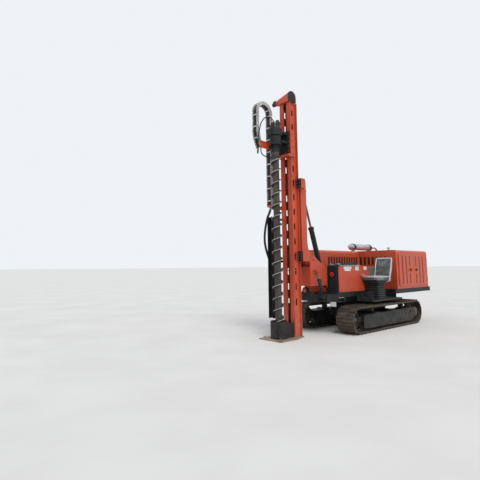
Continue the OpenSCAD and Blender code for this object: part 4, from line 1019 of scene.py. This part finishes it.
def add_carrier_bolts():
    """Bolts of the clamp jaws and the keeper plates on the tilt pin."""
    bm = bmesh.new()
    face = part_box("clamp_jaws")[1].x
    for z in JAW_BOLTS:
        for y in (0.155, -0.155, 0.245, -0.245):
            bolt(bm, (face, y, z), (1, 0, 0), 0.014)
    piece("jaw_bolts", bm, "roller_steel", "carrier", sharp=30)
    pins = bmesh.new()
    for sign in (1, -1):
        out = (0, sign, 0)
        centre = at(TILT_PIN[0], sign * 0.256, TILT_PIN[1])
        lathe(pins, centre, out, [(0, 0.043), (0.010, 0.043), (0.012, 0.040), (0.012, 0.014),
                                  (0.004, 0.012)], 32)
        for x, z in bolt_circle(3, 0.028, 0.25):
            bolt(pins, centre + Vector((x, sign * 0.012, z)), out, 0.006)
    piece("tilt_pin_caps", pins, "roller_steel", "swing", sharp=35)


def add_cap_bolts():
    """Bolts of the cap's side plates and the feed motor, and the motor's two ports."""
    bm = bmesh.new()
    low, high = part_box("cap_plates")
    for inset, z in ((0.03, 5.64), (0.03, 5.74), (0.09, 5.84)):
        for x in (low.x + inset, high.x - inset):
            bolt(bm, (x, high.y, z), (0, 1, 0), 0.009)
    low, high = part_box("chain_motor")
    axis = Vector(((low.x + high.x) / 2, 0, MOTOR_AXIS_Z))
    for x, z in bolt_circle(6, 0.057):
        bolt(bm, axis + Vector((x, high.y - 0.030, z)), (0, -1, 0), 0.008)
    piece("cap_bolts", bm, "roller_steel", "mast", sharp=30)
    ports = bmesh.new()
    for step in (-0.025, 0.025):
        start = axis + Vector((step, low.y + 0.075, 0.070))
        bar(ports, start, start + Vector((0, 0, 0.030)), 0.014, 0.002, 16)
        lathe(ports, start + Vector((0, 0, 0.012)), (0, 0, 1), [(0, 0.019), (0.014, 0.019)], 6)
    piece("motor_ports", ports, "muffler_steel", "mast", sharp=35)


def add_casing():
    """Flanges along the casing's seam with their bolts, a weld bead and lifting rings."""
    low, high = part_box("guide_casing")
    centre = Vector(AUGER_AXIS)
    radius = high.x - centre.x
    flange = bmesh.new()
    bolts = bmesh.new()
    turn = turned(centre, SEAM_TURN)
    for side in (-1, 1):
        block(flange, (radius - 0.004, side * 0.0035, low.z + 0.015),
              (radius + 0.034, side * 0.0115, high.z - 0.012), 0.0015, turn=turn)
    for k in range(5):
        z = low.z + 0.05 + k * (high.z - low.z - 0.1) / 4
        for side in (-1, 1):
            bolt(bolts, turn @ Vector((radius + 0.018, side * 0.0115, z)),
                 turn.to_3x3() @ Vector((0, side, 0)), 0.008)
    piece("casing_seam", flange, "frame_paint", "mast")
    weld = bmesh.new()
    lathe(weld, centre + Vector((0, 0, low.z + 0.0002)), (0, 0, 1),
          [(0, radius - 0.001), (0, radius + 0.007), (0.003, radius + 0.006), (0.009, radius - 0.001)],
          72, ring=True)
    piece("casing_weld", weld, "frame_paint", "mast")
    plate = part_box("foot_plate")[1]
    for sign in (1, -1):
        start = Vector((plate.x - 0.09, sign * 0.24, plate.z - 0.004))
        arch = [start + Vector((0, 0.035 * math.cos(a), 0.045 * math.sin(a)))
                for a in (math.pi * k / 12 for k in range(13))]
        tube(bolts, arch, 0.007, 10)
    piece("casing_bolts", bolts, "roller_steel", "mast", sharp=35)


def add_head_detail():
    """Flange bolts and ribs of the gearbox, bolts of the plate, the carriage and the motors."""
    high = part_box("rotary_head")[1]
    centre = Vector(AUGER_AXIS)
    bolts = bmesh.new()
    for z, radius, count in HEAD_FLANGES:
        for x, y in bolt_circle(count, radius):
            bolt(bolts, centre + Vector((x, y, z)), (0, 0, -1), 0.0085)
    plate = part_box("head_plate")[0]
    for y in (-0.140, 0.140):
        for i in range(5):
            bolt(bolts, (plate.x + 0.024, y, plate.z + 0.05 + i * 0.115), (1, 0, 0), 0.013)
    for i in range(4):
        for x in (0.055, 0.100):
            bolt(bolts, at(x, 0.196, 4.28 + i * 0.165), (0, 1, 0), 0.012)
    for side in (0.076, -0.076):
        for x, y in bolt_circle(6, 0.061, 0):
            bolt(bolts, centre + Vector((x, side + y, high.z + 0.036)), (0, 0, 1), 0.007)
    piece("head_bolts", bolts, "roller_steel", "head", sharp=30)
    ribs = bmesh.new()
    for k in range(RIB_COUNT):
        block(ribs, (0.094, -0.005, 4.375), (0.128, 0.005, 4.4635), 0.002,
              turn=turned(centre, 2 * math.pi * k / RIB_COUNT))
    piece("head_ribs", ribs, "frame_paint", "head")


def add_cylinder_bands():
    """Dark bands round the tilt cylinder's barrel."""
    foot, eye = at(*TILT_FOOT), at(*TILT_EYE)
    along = (eye - foot).normalized()
    bands = bmesh.new()
    for s in (0.45, 0.95, 1.35):
        lathe(bands, foot + along * (s - 0.014), along,
              [(0, 0.0622), (0, 0.0655), (0.028, 0.0655), (0.028, 0.0622)], 40, ring=True)
    piece("tilt_clips", bands, "frame_paint", "tilt_cylinder")


def add_auger_teeth():
    """Cutting teeth under the flight's lowest turn."""
    start = Vector(AUGER_AXIS) + Vector((0, 0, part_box("auger_flight")[0].z))
    bm = bmesh.new()
    for k, reach in enumerate((0.078, 0.098, 0.118)):
        block(bm, (reach - 0.008, -0.045, -0.030), (reach + 0.008, 0.012, 0.014), 0.003,
              turn=turned(start, math.radians(4 * k)))
    piece("auger_teeth", bm, "auger_steel", "auger")


# Energy chain: path up the mast, over and down to the head

CHAIN_Y = -0.280
CHAIN_LEG_X = 0.400
CHAIN_RADIUS = 0.225
CHAIN_FIXED = 3.050
CHAIN_BEND = 5.300
CHAIN_HEAD = 4.800
# Tail links on the head: turn towards the mast in degrees, and length
CHAIN_TAIL = ((12, 0.190), (24, 0.190))
CHAIN_HALF = (0.075, 0.040)
LINK = 0.075
CORE_OFFSETS = (-0.045, -0.015, 0.015, 0.045)


def link_matrix(x, z, along):
    """Local (along the chain, across it, out of its bend) in the row frame."""
    tx, tz = along
    return Matrix(((tx, 0, -tz, x + MAST_X), (0, 1, 0, CHAIN_Y), (tz, 0, tx, z), (0, 0, 0, 1)))


def straight_run(x, z, along, length):
    count = max(1, round(length / LINK))
    step = length / count
    return [(link_matrix(x + along[0] * step * (i + 0.5), z + along[1] * step * (i + 0.5), along), step)
            for i in range(count)]


def chain_runs():
    """Links of the fixed leg, the crown and the moving leg."""
    fixed = straight_run(CHAIN_LEG_X, CHAIN_FIXED, (0, 1), CHAIN_BEND - CHAIN_FIXED)
    middle = CHAIN_LEG_X + CHAIN_RADIUS
    count = round(math.pi * CHAIN_RADIUS / LINK)
    crown = []
    for i in range(count):
        a = math.pi * (1 - (i + 0.5) / count)
        spot = link_matrix(middle + CHAIN_RADIUS * math.cos(a), CHAIN_BEND + CHAIN_RADIUS * math.sin(a),
                           (math.sin(a), -math.cos(a)))
        crown.append((spot, 2 * CHAIN_RADIUS * math.sin(math.pi / 2 / count)))
    x, z = middle + CHAIN_RADIUS, CHAIN_BEND
    moving = straight_run(x, z, (0, -1), CHAIN_BEND - CHAIN_HEAD)
    z = CHAIN_HEAD
    for turn, length in CHAIN_TAIL:
        along = (-math.sin(math.radians(turn)), -math.cos(math.radians(turn)))
        moving += straight_run(x, z, along, length)
        x, z = x + along[0] * length, z + along[1] * length
    return {"fixed": fixed, "crown": crown, "moving": moving}


def link_shapes(bm, spot, step, number):
    """Side plates with their pins, and on every fourth link its two cross bars."""
    half_w, half_t = CHAIN_HALF
    for side in (-1, 1):
        face = half_w - (0.003 if number % 2 else 0.0)
        block(bm, (-step / 2 - 0.012, side * face, -half_t),
              (step / 2 + 0.012, side * (face - 0.008), half_t), 0.010, turn=spot)
        pin = spot @ Vector((-step / 2, side * (half_w - 0.001), 0))
        bar(bm, pin, pin + Vector((0, side * 0.0015, 0)), 0.013, 0.0, 14)
    for out in (-1, 1) if number % 4 == 1 else ():
        block(bm, (-0.016, -half_w + 0.006, out * half_t),
              (0.016, half_w - 0.006, out * (half_t - 0.007)), 0.002, turn=spot)


def add_chain():
    """The chain's links and hoses in three stretches."""
    for name, run in chain_runs().items():
        links = bmesh.new()
        for i, (spot, step) in enumerate(run):
            link_shapes(links, spot, step, i)
        cores = bmesh.new()
        for offset in CORE_OFFSETS:
            first, last = run[0], run[-1]
            line = [first[0] @ Vector((-first[1] / 2, offset, 0))]
            line += [spot @ Vector((0, offset, 0.003 * math.sin(i * 0.9 + offset * 60)))
                     for i, (spot, _) in enumerate(run)]
            line.append(last[0] @ Vector((last[1] / 2, offset, 0)))
            tube(cores, line, 0.0125, 10)
        parts = [piece(f"chain_{name}_links", links, "chain_zinc"),
                 piece(f"chain_{name}_hoses", cores, "hose_rubber", sharp=60)]
        for part in parts:
            if name == "fixed":
                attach(part, "mast")
                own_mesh(part)
            elif name == "crown":
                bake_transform(part)
            else:
                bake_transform(part)
        if name == "fixed":
            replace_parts(parts[0], "hose_chain")
            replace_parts(parts[1], "chain_hoses")


# Free hoses: the same routes as in the part, in metres from the mast's centre line

MAST_HOSE = [(0.400, -0.280, 3.014), (0.401, -0.281, 2.960), (0.422, -0.292, 2.880),
             (0.476, -0.322, 2.720), (0.530, -0.346, 2.420), (0.522, -0.362, 2.170),
             (0.444, -0.372, 1.930), (0.330, -0.374, 1.710), (0.200, -0.372, 1.560),
             (0.050, -0.370, 1.500), (-0.080, -0.368, 1.540), (-0.172, -0.362, 1.650),
             (-0.212, -0.344, 1.770), (-0.222, -0.316, 1.832), (-0.222, -0.298, 1.844),
             (-0.222, -0.282, 1.845)]
HEAD_HOSE_UPPER = [(0.760, -0.300, 4.419), (0.764, -0.300, 4.310), (0.800, -0.282, 4.270),
                   (0.846, -0.232, 4.330), (0.872, -0.180, 4.480), (0.882, -0.142, 4.720),
                   (0.872, -0.084, 4.930), (0.816, -0.014, 5.056), (0.728, 0.044, 5.080),
                   (0.634, 0.074, 5.020), (0.580, 0.076, 4.976), (0.535, 0.076, 4.965)]
HEAD_HOSE_LOWER = [(0.710, -0.260, 4.441), (0.706, -0.258, 4.310), (0.664, -0.236, 4.240),
                   (0.570, -0.202, 4.200), (0.462, -0.180, 4.190), (0.356, -0.170, 4.220),
                   (0.270, -0.160, 4.290), (0.216, -0.150, 4.340), (0.180, -0.146, 4.350)]
MAST_HOSE_D = 0.028
HEAD_HOSE_D = 0.026
HOSE_SPREAD = 0.017


def beside(route, offset):
    """The route moved sideways in the XZ plane, square to its own direction."""
    out = []
    for k, q in enumerate(route):
        d = Vector(route[min(k + 1, len(route) - 1)]) - Vector(route[max(k - 1, 0)])
        d = Vector((d.x, 0, d.z)).normalized()
        out.append(Vector(q) + offset * Vector((-d.z, 0, d.x)))
    return out


def add_hose(name, node, route, diameter, body=None):
    line = smooth_path([at(*q) for q in route], 6)
    bm = bmesh.new()
    tube(bm, line, diameter / 2, 14)
    hose = piece(name, bm, "hose_rubber", body, sharp=60)
    if body is None:
        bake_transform(hose)
    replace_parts(hose, node)
    return line


def ferrule(bm, end, before, radius):
    """A crimped fitting with its hex nut on the last few centimetres of a hose."""
    back = (Vector(before) - Vector(end)).normalized()
    lathe(bm, end, back, [(0, radius * 1.0), (0.012, radius * 1.0)], 16)
    lathe(bm, Vector(end) + back * 0.006, back, [(0, radius * 1.5), (0.018, radius * 1.5)], 6)
    lathe(bm, Vector(end) + back * 0.022, back,
          [(0, radius * 1.22), (0.006, radius * 1.28), (0.034, radius * 1.28), (0.040, radius * 1.1)], 20)


def add_hoses():
    mast_ends, carrier_ends, head_ends = bmesh.new(), bmesh.new(), bmesh.new()
    for name, offset in (("outer", HOSE_SPREAD), ("inner", -HOSE_SPREAD)):
        line = add_hose(f"hose_mast_{name}", f"mast_hose_{name}", beside(MAST_HOSE, offset), MAST_HOSE_D)
        ferrule(mast_ends, line[0], line[2], MAST_HOSE_D / 2)
        ferrule(carrier_ends, line[-1], line[-3], MAST_HOSE_D / 2)
    for name, route in (("upper", HEAD_HOSE_UPPER), ("lower", HEAD_HOSE_LOWER)):
        line = add_hose(f"hose_head_{name}", f"head_hose_{name}", route, HEAD_HOSE_D, "head")
        ferrule(head_ends, line[0], line[2], HEAD_HOSE_D / 2)
        ferrule(head_ends, line[-1], line[-3], HEAD_HOSE_D / 2)
    for bm, body in ((mast_ends, "mast"), (carrier_ends, "carrier"), (head_ends, "head")):
        piece(f"{body}_fittings", bm, "muffler_steel", body, sharp=35)


CLEAR_FILM = clear_film()
noise.seed_set(FILM_SEED)
add_camera()
add_floor()
add_world()
add_sun()
dress_frame()
add_tracks()
add_frame_bolts()
add_tread()
add_console()
add_seat()
add_latches()
add_shade_panes()
add_bodywork()
add_carrier_bolts()
add_cap_bolts()
add_casing()
add_head_detail()
add_cylinder_bands()
add_auger_teeth()
add_chain()
add_hoses()
bpy.context.scene.view_settings.view_transform = "Standard"
